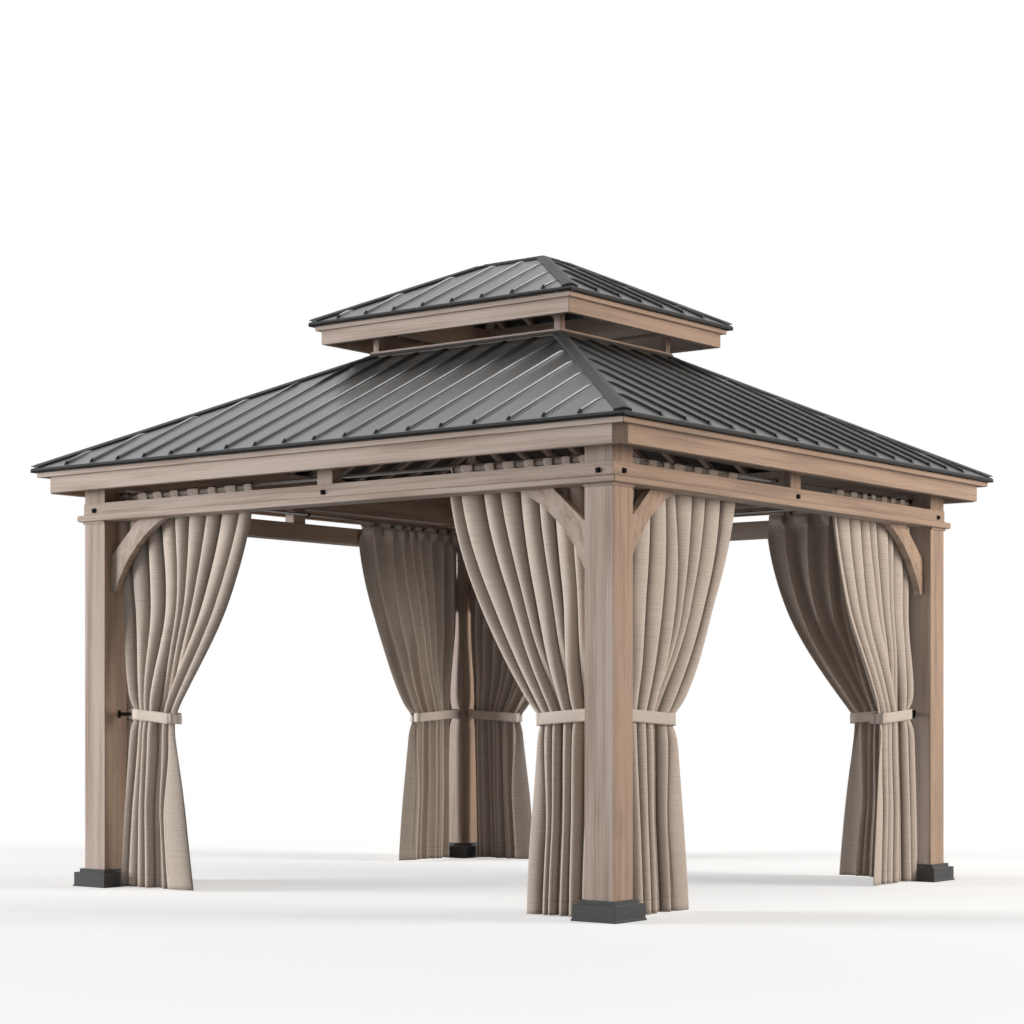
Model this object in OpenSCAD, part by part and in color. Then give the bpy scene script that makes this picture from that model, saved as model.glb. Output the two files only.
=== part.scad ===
// Hardtop gazebo: four timber posts, tie beams with a ledge, curved knee braces,
// a hipped metal roof with a raised vented cupola, and gathered curtains on double rods.
// Millimetres, +Z up. The origin is on the floor at the middle of the four posts.
// +X is along the longer side, and the front is the -Y side.

/* [Frame] */
// Length over the outer faces of the posts, along X
frame_l = 3546; // [2900:1:4600]
// Width over the outer faces of the posts, along Y
frame_w = 3284; // [2800:1:4600]
// Side of the square posts
post_w = 160; // [130:1:220]
// Floor to the underside of the ledge, which is the headroom at each side
clear_h = 2001; // [1750:1:2500]

/* [Post bases] */
// How far the metal base stands out from the post
base_out = 42; // [25:1:70]
// Height of the base's main block
base_h = 78; // [40:1:140]
// How far the foot flange stands out beyond the main block
base_flange_out = 4; // [1:1:12]
// Thickness of the foot flange
base_flange_h = 10; // [4:1:20]
// How far the upper step stands out from the post
base_step_out = 20; // [8:1:24]
// Height of the upper step
base_step_h = 19; // [8:1:40]

/* [Tie beams] */
// Height of the tie beam
beam_h = 65; // [50:1:140]
// Depth of the tie beam behind the post faces
beam_t = 90; // [84:1:100]
// Thickness of the lap that is let into the post faces
beam_lap = 16; // [8:1:30]
// How far the lap stands proud of the post faces
beam_proud = 4; // [1:1:10]
// Height of the ledge strip under the tie beam
ledge_h = 35; // [20:1:60]
// How far the ledge stands out from the post faces
ledge_out = 30; // [12:1:60]
// Radius of the ledge's two outer edges
ledge_r = 8; // [2:1:9]

/* [Knee braces] */
// Reach of the brace along the ledge
brace_reach = 418; // [300:1:520]
// Drop of the brace down the post
brace_drop = 381; // [280:1:500]
// Reach of the brace's straight back edge along the ledge
brace_back_reach = 213; // [120:1:260]
// Drop of the brace's straight back edge down the post
brace_back_drop = 190; // [110:1:240]
// Width of the flat foot against the post
brace_foot = 35; // [20:1:60]
// How deep the curve cuts in behind a straight line
brace_curve = 50; // [20:1:70]
// Thickness of the brace
brace_t = 42; // [25:1:60]
// Inset of the brace's back from the back of the tie beam
brace_inset = 2; // [0:1:10]

/* [Transom] */
// Gap between the tie beam and the underside of the fascia
transom_gap = 57; // [30:1:160]
// Height of the posts above the tie beam
post_rise = 89; // [80:1:200]
// Depth of the top plate behind the post faces
plate_t = 105; // [60:1:110]
// Width of the stub post at the middle of each side
stub_w = 104; // [60:1:160]
// Depth of the stub post
stub_t = 70; // [40:1:80]
// Setback of the stub post from the post faces
stub_setback = 8; // [0:1:20]

/* [Curtain rods] */
// Diameter of each rod
rod_d = 16; // [10:1:18]
// Distance of the inner rod from the backs of the posts
rod_edge = 2; // [1:1:8]
// Spacing of the two rods
rod_spacing = 24; // [20:1:30]
// Height of the rods above the tie beam
rod_lift = 49; // [30:1:60]
// Width of the middle hanger
hanger_w = 30; // [16:1:60]
// Thickness of the middle hanger
hanger_t = 5; // [3:1:8]

/* [Curtains] */
// Width of a gathered curtain at its heading
curtain_top_w = 963; // [700:1:1100]
// Width of a curtain inside its tie-back
curtain_tie_w = 426; // [300:1:520]
// Width of a curtain at its hem
curtain_hem_w = 512; // [340:1:600]
// How widely each curtain is gathered, from the front's left curtain round to the left's front one
spread = [1.10, 0.80, 1.20, 0.96, 0.88, 0.98, 1.02, 1.00]; // [0.75:0.01:1.25]
// Greatest depth of the pleats at the heading
heading_t = 54; // [30:1:60]
// Depth of the folds at the tie-back and the hem
fold_t = 92; // [60:1:100]
// Distance of the rearmost folds from the backs of the posts
fold_edge = 8; // [4:1:20]
// Height of the tie-back above the floor, at its middle
tie_z = 934; // [700:1:1100]
// Height of the tie-back band
tie_h = 66; // [40:1:130]
// Thickness of the tie-back band
tie_t = 3; // [2:1:3]
// Clearance between the hem and the floor
hem_gap = 4; // [3:1:40]
// Clearance between the curtain and the post base
base_gap = 3; // [2:1:12]
// Clearance between the heading and the tie beam
beam_gap = 8; // [2:1:12]

/* [Main roof] */
// Slope of both roofs in degrees
pitch = 26.1; // [20:0.1:32]
// Plan distance from the eave to the cupola curb
roof_run = 1321; // [1000:1:1600]
// Thickness of the roof sheets with their edge trim, measured straight down
sheet_t = 20; // [12:1:30]
// How far the fascia stands out from the post faces
fascia_out = 156; // [100:1:260]
// How far the metal edge stands out from the fascia
edge_out = 52; // [40:1:80]
// Height of the fascia below its trim strip
fascia_h = 86; // [60:1:160]
// Thickness of the fascia boards
fascia_t = 40; // [25:1:45]
// Width of the fascia's corner chamfer along each side
corner_cut = 52; // [46:1:60]
// Height of the trim strip
trim_h = 25; // [15:1:40]
// Thickness of the trim strip
trim_t = 28; // [15:1:36]
// Centre distance of the rafters, one under each roof seam
rafter_pitch = 202; // [150:1:320]
// Width of a rafter
rafter_w = 35; // [25:1:50]
// Depth of a rafter, measured straight down
rafter_d = 34; // [24:1:80]
// Width of a hip rafter
hip_w = 50; // [40:1:70]
// Width of the metal hip caps
hip_cap_w = 72; // [50:1:110]
// Height of the metal hip caps above the sheets
hip_cap_h = 16; // [8:1:24]

/* [Cupola] */
// Height of the curb that shows above the main roof
curb_show = 33; // [20:1:80]
// Thickness of the curb boards
curb_t = 60; // [56:1:80]
// Side of the square cupola posts
cupola_post_w = 42; // [30:1:44]
// Setback of the cupola posts from the curb's outer face
cupola_post_setback = 10; // [2:1:12]
// Gap between the curb and the underside of the cupola fascia
vent_gap = 36; // [20:1:120]
// Height of the cupola posts above the curb
cupola_post_h = 120; // [100:1:220]
// How far the cupola fascia stands out from the curb
cupola_fascia_out = 195; // [140:1:260]
// How far the cupola's metal edge stands out from its fascia
cupola_edge_out = 51; // [40:1:70]
// Height of the cupola fascia below its trim strip
cupola_fascia_h = 76; // [50:1:120]
// Thickness of the cupola fascia boards
cupola_fascia_t = 30; // [20:1:40]
// Height of the cupola's trim strip
cupola_trim_h = 23; // [15:1:36]
// Thickness of the cupola's trim strip
cupola_trim_t = 25; // [15:1:34]
// Width of a cupola rafter
cupola_rafter_w = 30; // [20:1:40]
// Depth of a cupola rafter, measured straight down
cupola_rafter_d = 28; // [20:1:60]
// Plan distance from the ridge to the edge of the opening that the ridge cap closes
cap_half = 100; // [70:1:160]
// How far the ridge cap laps over the sheets
cap_lap = 8; // [4:1:20]
// Height of each of the ridge cap's two layers
cap_layer_h = 11; // [8:1:16]
// Inset of the ridge cap's upper layer
cap_layer_in = 26; // [15:1:40]

/* [Hidden] */

// The four sides, counted anticlockwise from the front
FRONT = 0;
RIGHT = 1;
BACK = 2;
LEFT = 3;
SIDES = [FRONT, RIGHT, BACK, LEFT];

// The two roofs
MAIN = 0;
CUPOLA = 1;

// Joint between boards of one node, so that they stay separate solids
joint = 1;
// Clearance between the curtain and what it hangs from or hangs beside
soft_gap = 0.3;
// Clearance between the trim strip and the metal edge above it
edge_gap = 1;
// Shortest rafter that is worth making
rafter_min = 60;
// Extra length of a tool or of a slab that is cut back by another shape
over = 100;
// Number of steps in a curtain's curved edge
edge_steps = 8;
// Power of the curve that a curtain's edge follows above its tie-back
edge_power = 0.68;

// Heights, from the floor up
beam_z = clear_h + ledge_h;
beam_top = beam_z + beam_h;
post_top = beam_top + post_rise;
rod_z = beam_top + rod_lift;
heading_z = rod_z - rod_d / 2 - soft_gap;
fascia_z = beam_top + transom_gap;
trim_z = fascia_z + fascia_h;
eave_z = trim_z + trim_h + edge_gap + sheet_t;
curb_plane_z = eave_z + roof_run * tan(pitch);
curb_top = curb_plane_z + curb_show;
curb_bottom = curb_plane_z - sheet_t - rafter_d;
cupola_plate_z = curb_top + cupola_post_h;
cupola_fascia_z = curb_top + vent_gap;
cupola_trim_z = cupola_fascia_z + cupola_fascia_h;
cupola_eave_z = cupola_trim_z + cupola_trim_h + edge_gap + sheet_t;

// Depths behind the post faces
brace_back = beam_t - brace_inset;
rod_inner = post_w - rod_edge - rod_d / 2;
rod_outer = rod_inner - rod_spacing;
fold_back = post_w - fold_edge;
fold_front = fold_back - fold_t;
heading_front = max(beam_t + beam_gap, fold_back - heading_t);

// Plan sizes
eave_out = fascia_out + edge_out;
cupola_eave_out = cupola_fascia_out + cupola_edge_out;
curb_half_l = frame_l / 2 + eave_out - roof_run;
curb_half_w = frame_w / 2 + eave_out - roof_run;
cupola_run = min(curb_half_l, curb_half_w) + cupola_eave_out - cap_half;
cap_z = cupola_eave_z + cupola_run * tan(pitch);

function half_along(s) = (s % 2 == 0 ? frame_l : frame_w) / 2;
function half_across(s) = (s % 2 == 0 ? frame_w : frame_l) / 2;
function curb_along(s) = s % 2 == 0 ? curb_half_l : curb_half_w;
function curb_across(s) = s % 2 == 0 ? curb_half_w : curb_half_l;

// Half length and half width of a roof at its eave, seen from side s
function eave_along(roof, s) = roof == MAIN ? half_along(s) + eave_out : curb_along(s) + cupola_eave_out;
function eave_across(roof, s) = roof == MAIN ? half_across(s) + eave_out : curb_across(s) + cupola_eave_out;
function eave_height(roof) = roof == MAIN ? eave_z : cupola_eave_z;
function run_of(roof) = roof == MAIN ? roof_run : cupola_run;

timber = [0.66, 0.60, 0.55];
charcoal = [0.33, 0.34, 0.34];
dark_steel = [0.20, 0.20, 0.21];
linen = [0.74, 0.67, 0.60];

// Turns what is drawn for the front so that it stands at side s
module at_side(s) {
    rotate([0, 0, 90 * s]) children();
}

// Mirrors what is drawn in the back right quarter into the quarter with signs sx and sy
module at_corner(sx, sy) {
    mirror([sx < 0 ? 1 : 0, 0, 0])
        mirror([0, sy < 0 ? 1 : 0, 0])
            children();
}

// Plan of a mitred board at the front: half length a and half width b at its outer edge,
// d0 and d1 its two insets from there, and cut the shortening at each mitre
module mitred_plan(a, b, d0, d1, cut) {
    polygon([
        [-(a - d0 - cut), -(b - d0)],
        [a - d0 - cut, -(b - d0)],
        [a - d1 - cut, -(b - d1)],
        [-(a - d1 - cut), -(b - d1)]
    ]);
}

// Layer of a roof at the front, between two heights above its top surface
module roof_layer(roof, s, low, high) {
    length = 2 * eave_along(roof, s) + 2 * over;
    depth = run_of(roof) / cos(pitch) + 6 * over;
    translate([0, -eave_across(roof, s), eave_height(roof)])
        rotate([pitch, 0, 0])
            translate([-length / 2, -4 * over, low * cos(pitch)])
                cube([length, depth, (high - low) * cos(pitch)]);
}

// What of a roof layer stands over a plan shape
module over_plan(roof, s, low, high) {
    intersection() {
        roof_layer(roof, s, low, high);
        translate([0, 0, eave_height(roof) - 6 * over])
            linear_extrude(run_of(roof) * tan(pitch) + 8 * over)
                children();
    }
}

// Diagonal strips at both ends of a side, one half of each hip, with width w
module hip_plan(roof, s, d0, d1, w) {
    a = eave_along(roof, s);
    b = eave_across(roof, s);
    reach = w / 2 * sqrt(2);
    for (m = [0, 1])
        mirror([m, 0])
            polygon([
                [a - d0, -(b - d0)],
                [a - d1, -(b - d1)],
                [a - d1 - reach, -(b - d1)],
                [a - d0 - reach, -(b - d0)]
            ]);
}

// Straight strips up a roof slope, half a pitch either side of the middle and outwards
module rafter_plan(roof, s, d0, width, hip) {
    a = eave_along(roof, s);
    b = eave_across(roof, s);
    cut = hip / 2 * sqrt(2) + joint;
    count = floor((a - d0 - cut - rafter_min) / rafter_pitch + 0.5);
    intersection() {
        mitred_plan(a, b, d0, run_of(roof), cut);
        for (i = [-count : count - 1])
            translate([(i + 0.5) * rafter_pitch - width / 2, -b])
                square([width, b]);
    }
}

module post(sx, sy) {
    core = post_w - beam_lap;
    color(timber)
        at_corner(sx, sy)
            translate([frame_l / 2 - post_w, frame_w / 2 - post_w, 0]) {
                cube([post_w, post_w, beam_z]);
                translate([0, 0, beam_z])
                    cube([core, core, beam_h]);
                translate([0, 0, beam_top])
                    cube([post_w, post_w, post_rise]);
            }
}

// One layer of the base round a post, standing out from it on all four sides
module base_layer(out, z, h) {
    translate([frame_l / 2 - post_w, frame_w / 2 - post_w, z])
        difference() {
            translate([-out, -out, 0])
                cube([post_w + 2 * out, post_w + 2 * out, h]);
            translate([0, 0, -over])
                cube([post_w, post_w, h + 2 * over]);
        }
}

module post_bases() {
    color(dark_steel)
        for (sx = [-1, 1], sy = [-1, 1])
            at_corner(sx, sy) {
                base_layer(base_out + base_flange_out, 0, base_flange_h);
                base_layer(base_out, base_flange_h, base_h - base_flange_h);
                base_layer(base_step_out, base_h, base_step_h);
            }
}

module tie_beam(s) {
    a = half_along(s);
    b = half_across(s);
    inner = a - post_w;
    out = beam_proud;
    color(timber)
        at_side(s)
            translate([0, 0, beam_z])
                linear_extrude(beam_h)
                    polygon([
                        [-a - out, -b - out],
                        [a + out, -b - out],
                        [a - beam_lap, -b + beam_lap],
                        [inner, -b + beam_lap],
                        [inner, -b + beam_t],
                        [-inner, -b + beam_t],
                        [-inner, -b + beam_lap],
                        [-a + beam_lap, -b + beam_lap]
                    ]);
}

// Section of the ledge's outer strip, from the post face outwards, with two round edges
module ledge_section() {
    square([ledge_out - ledge_r, ledge_h]);
    translate([0, ledge_r])
        square([ledge_out, ledge_h - 2 * ledge_r]);
    for (z = [ledge_r, ledge_h - ledge_r])
        translate([ledge_out - ledge_r, z])
            circle(ledge_r, $fn = 32);
}

module ledge() {
    color(timber)
        for (s = SIDES) {
            a = half_along(s);
            b = half_across(s);
            inner = a - post_w;
            at_side(s)
                translate([0, 0, clear_h]) {
                    intersection() {
                        translate([a + over, -b, 0])
                            rotate([90, 0, -90])
                                linear_extrude(2 * (a + over))
                                    ledge_section();
                        linear_extrude(ledge_h)
                            mitred_plan(a, b, -ledge_out, 0, joint / 2);
                    }
                    translate([-inner, -b, 0])
                        cube([2 * inner, beam_t, ledge_h]);
                }
        }
}

// Outline of a brace, from the corner where the ledge meets the post
module brace_outline() {
    run = brace_reach - brace_foot;
    chord = sqrt(run * run + brace_drop * brace_drop);
    radius = (chord * chord / 4 + brace_curve * brace_curve) / (2 * brace_curve);
    away = (radius - brace_curve) / chord;
    difference() {
        polygon([
            [brace_back_reach, 0],
            [brace_reach, 0],
            [brace_foot, -brace_drop],
            [0, -brace_drop],
            [0, -brace_back_drop]
        ]);
        translate([brace_foot + run / 2 + away * brace_drop, -brace_drop / 2 - away * run])
            circle(radius, $fn = 180);
    }
}

module braces(s) {
    color(timber)
        at_side(s)
            for (m = [0, 1])
                mirror([m, 0, 0])
                    translate([
                        -half_along(s) + post_w,
                        -half_across(s) + brace_back,
                        clear_h
                    ])
                        rotate([90, 0, 0])
                            linear_extrude(brace_t)
                                brace_outline();
}

module stub_posts() {
    color(timber)
        for (s = SIDES)
            at_side(s)
                translate([-stub_w / 2, -half_across(s) + stub_setback, beam_top])
                    cube([stub_w, stub_t, post_rise]);
}

module top_plates() {
    color(timber)
        for (s = SIDES)
            at_side(s)
                intersection() {
                    translate([0, 0, post_top])
                        linear_extrude(roof_run)
                            mitred_plan(half_along(s), half_across(s), 0, plate_t, joint / 2);
                    roof_layer(MAIN, s, -sheet_t - rafter_d - 4 * over, -sheet_t - rafter_d);
                }
}

// Fascia board of either roof, bevelled under the sheets, with its ends cut square or mitred
module fascia_board(roof, s, d0, d1, z, square_end) {
    a = eave_along(roof, s);
    b = eave_across(roof, s);
    intersection() {
        translate([0, 0, z])
            linear_extrude(roof_run)
                intersection() {
                    mitred_plan(a, b, d0, d1, joint / 2);
                    translate([-(a - square_end), -b])
                        square([2 * (a - square_end), b]);
                }
        roof_layer(roof, s, -sheet_t - 4 * over, -sheet_t);
    }
}

module fascia() {
    color(timber)
        for (s = SIDES)
            at_side(s)
                fascia_board(MAIN, s, edge_out, edge_out + fascia_t, fascia_z, edge_out + corner_cut);
}

// Chamfered piece that closes each corner of the fascia
module fascia_corners() {
    top = eave_z - sheet_t + edge_out * tan(pitch);
    color(timber)
        for (sx = [-1, 1], sy = [-1, 1])
            at_corner(sx, sy)
                translate([frame_l / 2 + fascia_out, frame_w / 2 + fascia_out, fascia_z])
                    linear_extrude(top - fascia_z)
                        polygon([
                            [-corner_cut, 0],
                            [0, -corner_cut],
                            [-fascia_t, -corner_cut],
                            [-fascia_t, -fascia_t],
                            [-corner_cut, -fascia_t]
                        ]);
}

// Trim strip round either roof, fixed to the outer face of the fascia
module trim_ring(roof, fascia_inset, thick, z, h) {
    color(timber)
        for (s = SIDES)
            at_side(s)
                translate([0, 0, z])
                    linear_extrude(h)
                        mitred_plan(
                            eave_along(roof, s), eave_across(roof, s),
                            fascia_inset - thick, fascia_inset, joint / 2
                        );
}

// Two rods between the posts, joined by a hanger that is fixed to the stub post
module rods(s) {
    span = 2 * (half_along(s) - post_w);
    hanger_from = stub_setback + stub_t;
    hanger_to = rod_inner + rod_d / 2;
    color(dark_steel)
        at_side(s)
            translate([0, -half_across(s), 0]) {
                for (y = [rod_outer, rod_inner])
                    translate([-span / 2, y, rod_z])
                        rotate([0, 90, 0])
                            cylinder(h = span, d = rod_d, $fn = 32);
                translate([-hanger_w / 2, hanger_from, rod_z - hanger_t / 2])
                    cube([hanger_w, hanger_to - hanger_from, hanger_t]);
            }
}

module rods_pair(s) {
    rods(s);
    rods(s + 2);
}

// Place of a curtain in the list of spreads: side s, and the sign e of its end of that side
function curtain_index(s, e) = 2 * s + (e > 0 ? 1 : 0);

// Face of a curtain that hangs beside the post, x from the post face and y upwards
module curtain_face(fullness) {
    tie_top = tie_z + tie_h / 2;
    top_w = curtain_top_w * (1 + fullness) / 2;
    tie_w = curtain_tie_w * fullness;
    base_edge = base_out + base_flange_out + base_gap;
    base_top = base_h + base_step_h + base_gap;
    polygon(concat(
        [
            [tie_t + soft_gap, base_top],
            [base_edge, base_top],
            [base_edge, hem_gap],
            [curtain_hem_w * fullness, hem_gap],
            [tie_w, tie_z - tie_h / 2]
        ],
        [for (i = [0 : edge_steps])
            let (t = i / edge_steps)
                [tie_w + (top_w - tie_w) * pow(t, edge_power), tie_top + (heading_z - tie_top) * t]],
        [[tie_t + soft_gap, heading_z]]
    ));
}

// Section of a curtain across its folds, x inwards from the post faces and y upwards
module curtain_section() {
    brace_z = clear_h - brace_drop;
    polygon([
        [fold_front, hem_gap],
        [fold_back, hem_gap],
        [fold_back, heading_z],
        [heading_front, heading_z],
        [heading_front, brace_z - over],
        [fold_front, brace_z - 2 * over]
    ]);
}

// Curtain at side s, beside the post at the end of the side with sign e
module curtain(s, e) {
    color(linen)
        at_side(s)
            mirror([e > 0 ? 1 : 0, 0, 0])
                translate([-half_along(s) + post_w, -half_across(s), 0])
                    intersection() {
                        translate([0, post_w + over, 0])
                            rotate([90, 0, 0])
                                linear_extrude(post_w + 2 * over)
                                    curtain_face(spread[curtain_index(s, e)]);
                        rotate([90, 0, 90])
                            linear_extrude(2 * curtain_top_w)
                                curtain_section();
                    }
}

// Band round each curtain, fixed to the post face
module tie_backs() {
    inner_t = fold_t + 2 * soft_gap;
    color(linen)
        for (s = SIDES, e = [-1, 1]) {
            inner_w = curtain_tie_w * spread[curtain_index(s, e)] + soft_gap;
            at_side(s)
                mirror([e > 0 ? 1 : 0, 0, 0])
                    translate([
                        -half_along(s) + post_w,
                        -half_across(s) + fold_front + fold_t / 2,
                        tie_z - tie_h / 2
                    ])
                        linear_extrude(tie_h)
                            difference() {
                                translate([0, -inner_t / 2 - tie_t])
                                    square([inner_w + tie_t, inner_t + 2 * tie_t]);
                                translate([tie_t, -inner_t / 2])
                                    square([inner_w - tie_t, inner_t]);
                            }
        }
}

module roof_sheet(roof, s, cut) {
    color(charcoal)
        at_side(s)
            over_plan(roof, s, -sheet_t, 0)
                mitred_plan(eave_along(roof, s), eave_across(roof, s), 0, run_of(roof), cut);
}

module cupola_roof() {
    for (s = SIDES)
        roof_sheet(CUPOLA, s, joint / 2);
}

module hip_caps() {
    color(charcoal)
        for (roof = [MAIN, CUPOLA], s = SIDES)
            at_side(s)
                over_plan(roof, s, 0, hip_cap_h)
                    hip_plan(roof, s, 0, run_of(roof) - (roof == CUPOLA ? cap_lap : 0), hip_cap_w);
}

module rafters() {
    color(timber)
        for (s = SIDES)
            at_side(s)
                over_plan(MAIN, s, -sheet_t - rafter_d, -sheet_t)
                    rafter_plan(MAIN, s, edge_out + fascia_t, rafter_w, hip_w);
}

module hip_rafters() {
    color(timber)
        for (s = SIDES)
            at_side(s)
                over_plan(MAIN, s, -sheet_t - rafter_d, -sheet_t)
                    hip_plan(MAIN, s, edge_out + corner_cut, roof_run, hip_w);
}

module cupola_curb() {
    color(timber)
        for (s = SIDES)
            at_side(s)
                translate([0, 0, curb_bottom])
                    linear_extrude(curb_top - curb_bottom)
                        mitred_plan(curb_along(s), curb_across(s), 0, curb_t, joint / 2);
}

module cupola_posts() {
    inset = cupola_post_setback + cupola_post_w;
    color(timber)
        for (sx = [-1, 1], sy = [-1, 1])
            at_corner(sx, sy)
                translate([curb_half_l - inset, curb_half_w - inset, curb_top])
                    cube([cupola_post_w, cupola_post_w, cupola_post_h]);
}

module cupola_plates() {
    low = -sheet_t - cupola_rafter_d;
    color(timber)
        for (s = SIDES)
            at_side(s)
                intersection() {
                    translate([0, 0, cupola_plate_z])
                        linear_extrude(roof_run)
                            mitred_plan(
                                curb_along(s), curb_across(s),
                                cupola_post_setback, cupola_post_setback + cupola_post_w, joint / 2
                            );
                    roof_layer(CUPOLA, s, low - 4 * over, low);
                }
}

module cupola_fascia() {
    color(timber)
        for (s = SIDES)
            at_side(s)
                fascia_board(
                    CUPOLA, s, cupola_edge_out, cupola_edge_out + cupola_fascia_t, cupola_fascia_z, 0
                );
}

// Common rafters and hip rafters of the cupola
module cupola_rafters() {
    inner = cupola_edge_out + cupola_fascia_t;
    low = -sheet_t - cupola_rafter_d;
    color(timber)
        for (s = SIDES)
            at_side(s) {
                over_plan(CUPOLA, s, low, -sheet_t)
                    rafter_plan(CUPOLA, s, inner, cupola_rafter_w, hip_w);
                over_plan(CUPOLA, s, low, -sheet_t)
                    hip_plan(CUPOLA, s, inner, cupola_run, hip_w);
            }
}

// One hipped layer of the ridge cap: rectangle at its foot drawn in to a smaller one at its top
module cap_layer(half_l, half_w, z) {
    slant = cap_layer_h / 2;
    hull() {
        translate([-half_l, -half_w, z])
            cube([2 * half_l, 2 * half_w, cap_layer_h / 2]);
        translate([-half_l + slant, -half_w + slant, z])
            cube([2 * (half_l - slant), 2 * (half_w - slant), cap_layer_h]);
    }
}

// Ridge block in the opening between the sheets, under two layers of metal
module ridge_cap() {
    open_l = curb_half_l + cupola_eave_out - cupola_run;
    open_w = curb_half_w + cupola_eave_out - cupola_run;
    color(charcoal) {
        translate([-open_l, -open_w, cap_z - sheet_t])
            cube([2 * open_l, 2 * open_w, sheet_t]);
        cap_layer(open_l + cap_lap, open_w + cap_lap, cap_z);
        cap_layer(open_l + cap_lap - cap_layer_in, open_w + cap_lap - cap_layer_in, cap_z + cap_layer_h);
    }
}

post(-1, -1);  // post_front_left
post(1, -1);  // post_front_right
post(-1, 1);  // post_back_left
post(1, 1);  // post_back_right
post_bases();
tie_beam(FRONT);  // tie_beam_front
tie_beam(RIGHT);  // tie_beam_right
tie_beam(BACK);  // tie_beam_back
tie_beam(LEFT);  // tie_beam_left
ledge();
braces(FRONT);  // braces_front
braces(RIGHT);  // braces_right
braces(BACK);  // braces_back
braces(LEFT);  // braces_left
stub_posts();
top_plates();
fascia();
fascia_corners();
trim_ring(MAIN, edge_out, trim_t, trim_z, trim_h);  // eave_trim
rods_pair(FRONT);  // rods_front_back
rods_pair(RIGHT);  // rods_left_right
curtain(FRONT, -1);  // curtain_front_left
curtain(FRONT, 1);  // curtain_front_right
curtain(RIGHT, -1);  // curtain_right_front
curtain(RIGHT, 1);  // curtain_right_back
curtain(BACK, -1);  // curtain_back_right
curtain(BACK, 1);  // curtain_back_left
curtain(LEFT, -1);  // curtain_left_back
curtain(LEFT, 1);  // curtain_left_front
tie_backs();
roof_sheet(MAIN, FRONT, 0);  // roof_front
roof_sheet(MAIN, RIGHT, 0);  // roof_right
roof_sheet(MAIN, BACK, 0);  // roof_back
roof_sheet(MAIN, LEFT, 0);  // roof_left
hip_caps();
rafters();
hip_rafters();
cupola_curb();
cupola_posts();
cupola_plates();
cupola_fascia();
trim_ring(  // cupola_trim
    CUPOLA, cupola_edge_out, cupola_trim_t, cupola_trim_z, cupola_trim_h
);
cupola_roof();
cupola_rafters();
ridge_cap();
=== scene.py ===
"""Hardtop gazebo: timber frame, standing seam roof, cupola and linen curtains, built round the packed frame."""

import math
import random
from functools import partial
from itertools import product

import bmesh
import bpy
import numpy as np
from mathutils import Matrix, Vector


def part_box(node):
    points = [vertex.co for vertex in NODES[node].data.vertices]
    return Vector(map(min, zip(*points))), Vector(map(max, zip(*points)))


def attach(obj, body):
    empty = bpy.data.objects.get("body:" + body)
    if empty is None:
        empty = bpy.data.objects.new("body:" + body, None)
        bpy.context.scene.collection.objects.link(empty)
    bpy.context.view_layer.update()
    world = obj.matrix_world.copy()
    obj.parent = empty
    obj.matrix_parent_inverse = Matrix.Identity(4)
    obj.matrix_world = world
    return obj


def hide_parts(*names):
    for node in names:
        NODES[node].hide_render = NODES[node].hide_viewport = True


bl_info = {
    "name": "Hardtop Gazebo",
    "version": (1, 0, 0),
    "blender": (4, 5, 0),
    "location": "3D View > Sidebar > Gazebo",
    "description": "Finishes the timber, roof, fittings and curtains of a hardtop gazebo",
    "category": "Add Mesh",
}

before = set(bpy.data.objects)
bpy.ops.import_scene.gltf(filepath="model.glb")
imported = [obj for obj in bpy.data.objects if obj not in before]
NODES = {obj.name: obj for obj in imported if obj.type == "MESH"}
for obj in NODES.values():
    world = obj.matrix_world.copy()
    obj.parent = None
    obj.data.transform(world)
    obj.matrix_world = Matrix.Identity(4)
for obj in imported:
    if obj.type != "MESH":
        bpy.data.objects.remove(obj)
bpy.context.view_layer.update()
SIDES = ("front", "right", "back", "left")

# Sizes that every piece shares, from the packed frame. Lengths are in metres.
POST_LOW, POST_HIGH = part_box("post_front_right")
HALF_L, HALF_W = POST_HIGH.x, -POST_LOW.y
POST_W = POST_HIGH.x - POST_LOW.x
LEDGE_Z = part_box("ledge")[0].z
BEAM_LOW, BEAM_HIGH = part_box("tie_beam_front")
BEAM_OUT = BEAM_HIGH.x - HALF_L
ROD_LOW, ROD_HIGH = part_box("rods_front_back")
ROD_Z = (ROD_LOW.z + ROD_HIGH.z) / 2
ROD_R = 0.008  # radius of a curtain rod
ROD_DEPTHS = (0.126, 0.150)  # outer and inner rod, from the posts' outer face
SHEET_T = 0.020  # thickness of a roof slope
TIE_LOW, TIE_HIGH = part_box("tie_backs")
TIE_Z = (TIE_LOW.z + TIE_HIGH.z) / 2


class Roof:
    """Eave rectangle, height, run and slope of one of the two roofs."""

    def __init__(self, half_l, half_w, eave_z, run, slope):
        self.half_l, self.half_w = half_l, half_w
        self.eave_z, self.run, self.slope = eave_z, run, slope

    def half_along(self, side):
        return self.half_w if side % 2 else self.half_l

    def half_across(self, side):
        return self.half_l if side % 2 else self.half_w

    def top(self, depth):
        return self.eave_z + depth * self.slope


def measured_roofs():
    low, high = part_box("roof_front")
    run = high.y - low.y
    eave = low.z + SHEET_T
    slope = (high.z - eave) / run
    main = Roof(-low.x, -low.y, eave, run, slope)
    low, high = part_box("cupola_roof")
    eave = low.z + SHEET_T
    return main, Roof(-low.x, -low.y, eave, (high.z - eave) / slope, slope)


MAIN, CUPOLA = measured_roofs()


# ---------------------------------------------------------------- settings


def colour(name, text, default):
    return bpy.props.FloatVectorProperty(
        name=name, description=text, default=default, size=3, subtype="COLOR", min=0, max=1
    )


def number(name, text, default, **settings):
    return bpy.props.FloatProperty(name=name, description=text, default=default, **settings)


length = partial(number, unit="LENGTH", subtype="DISTANCE", min=0, max=1)
wattage = partial(number, unit="POWER")


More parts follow.
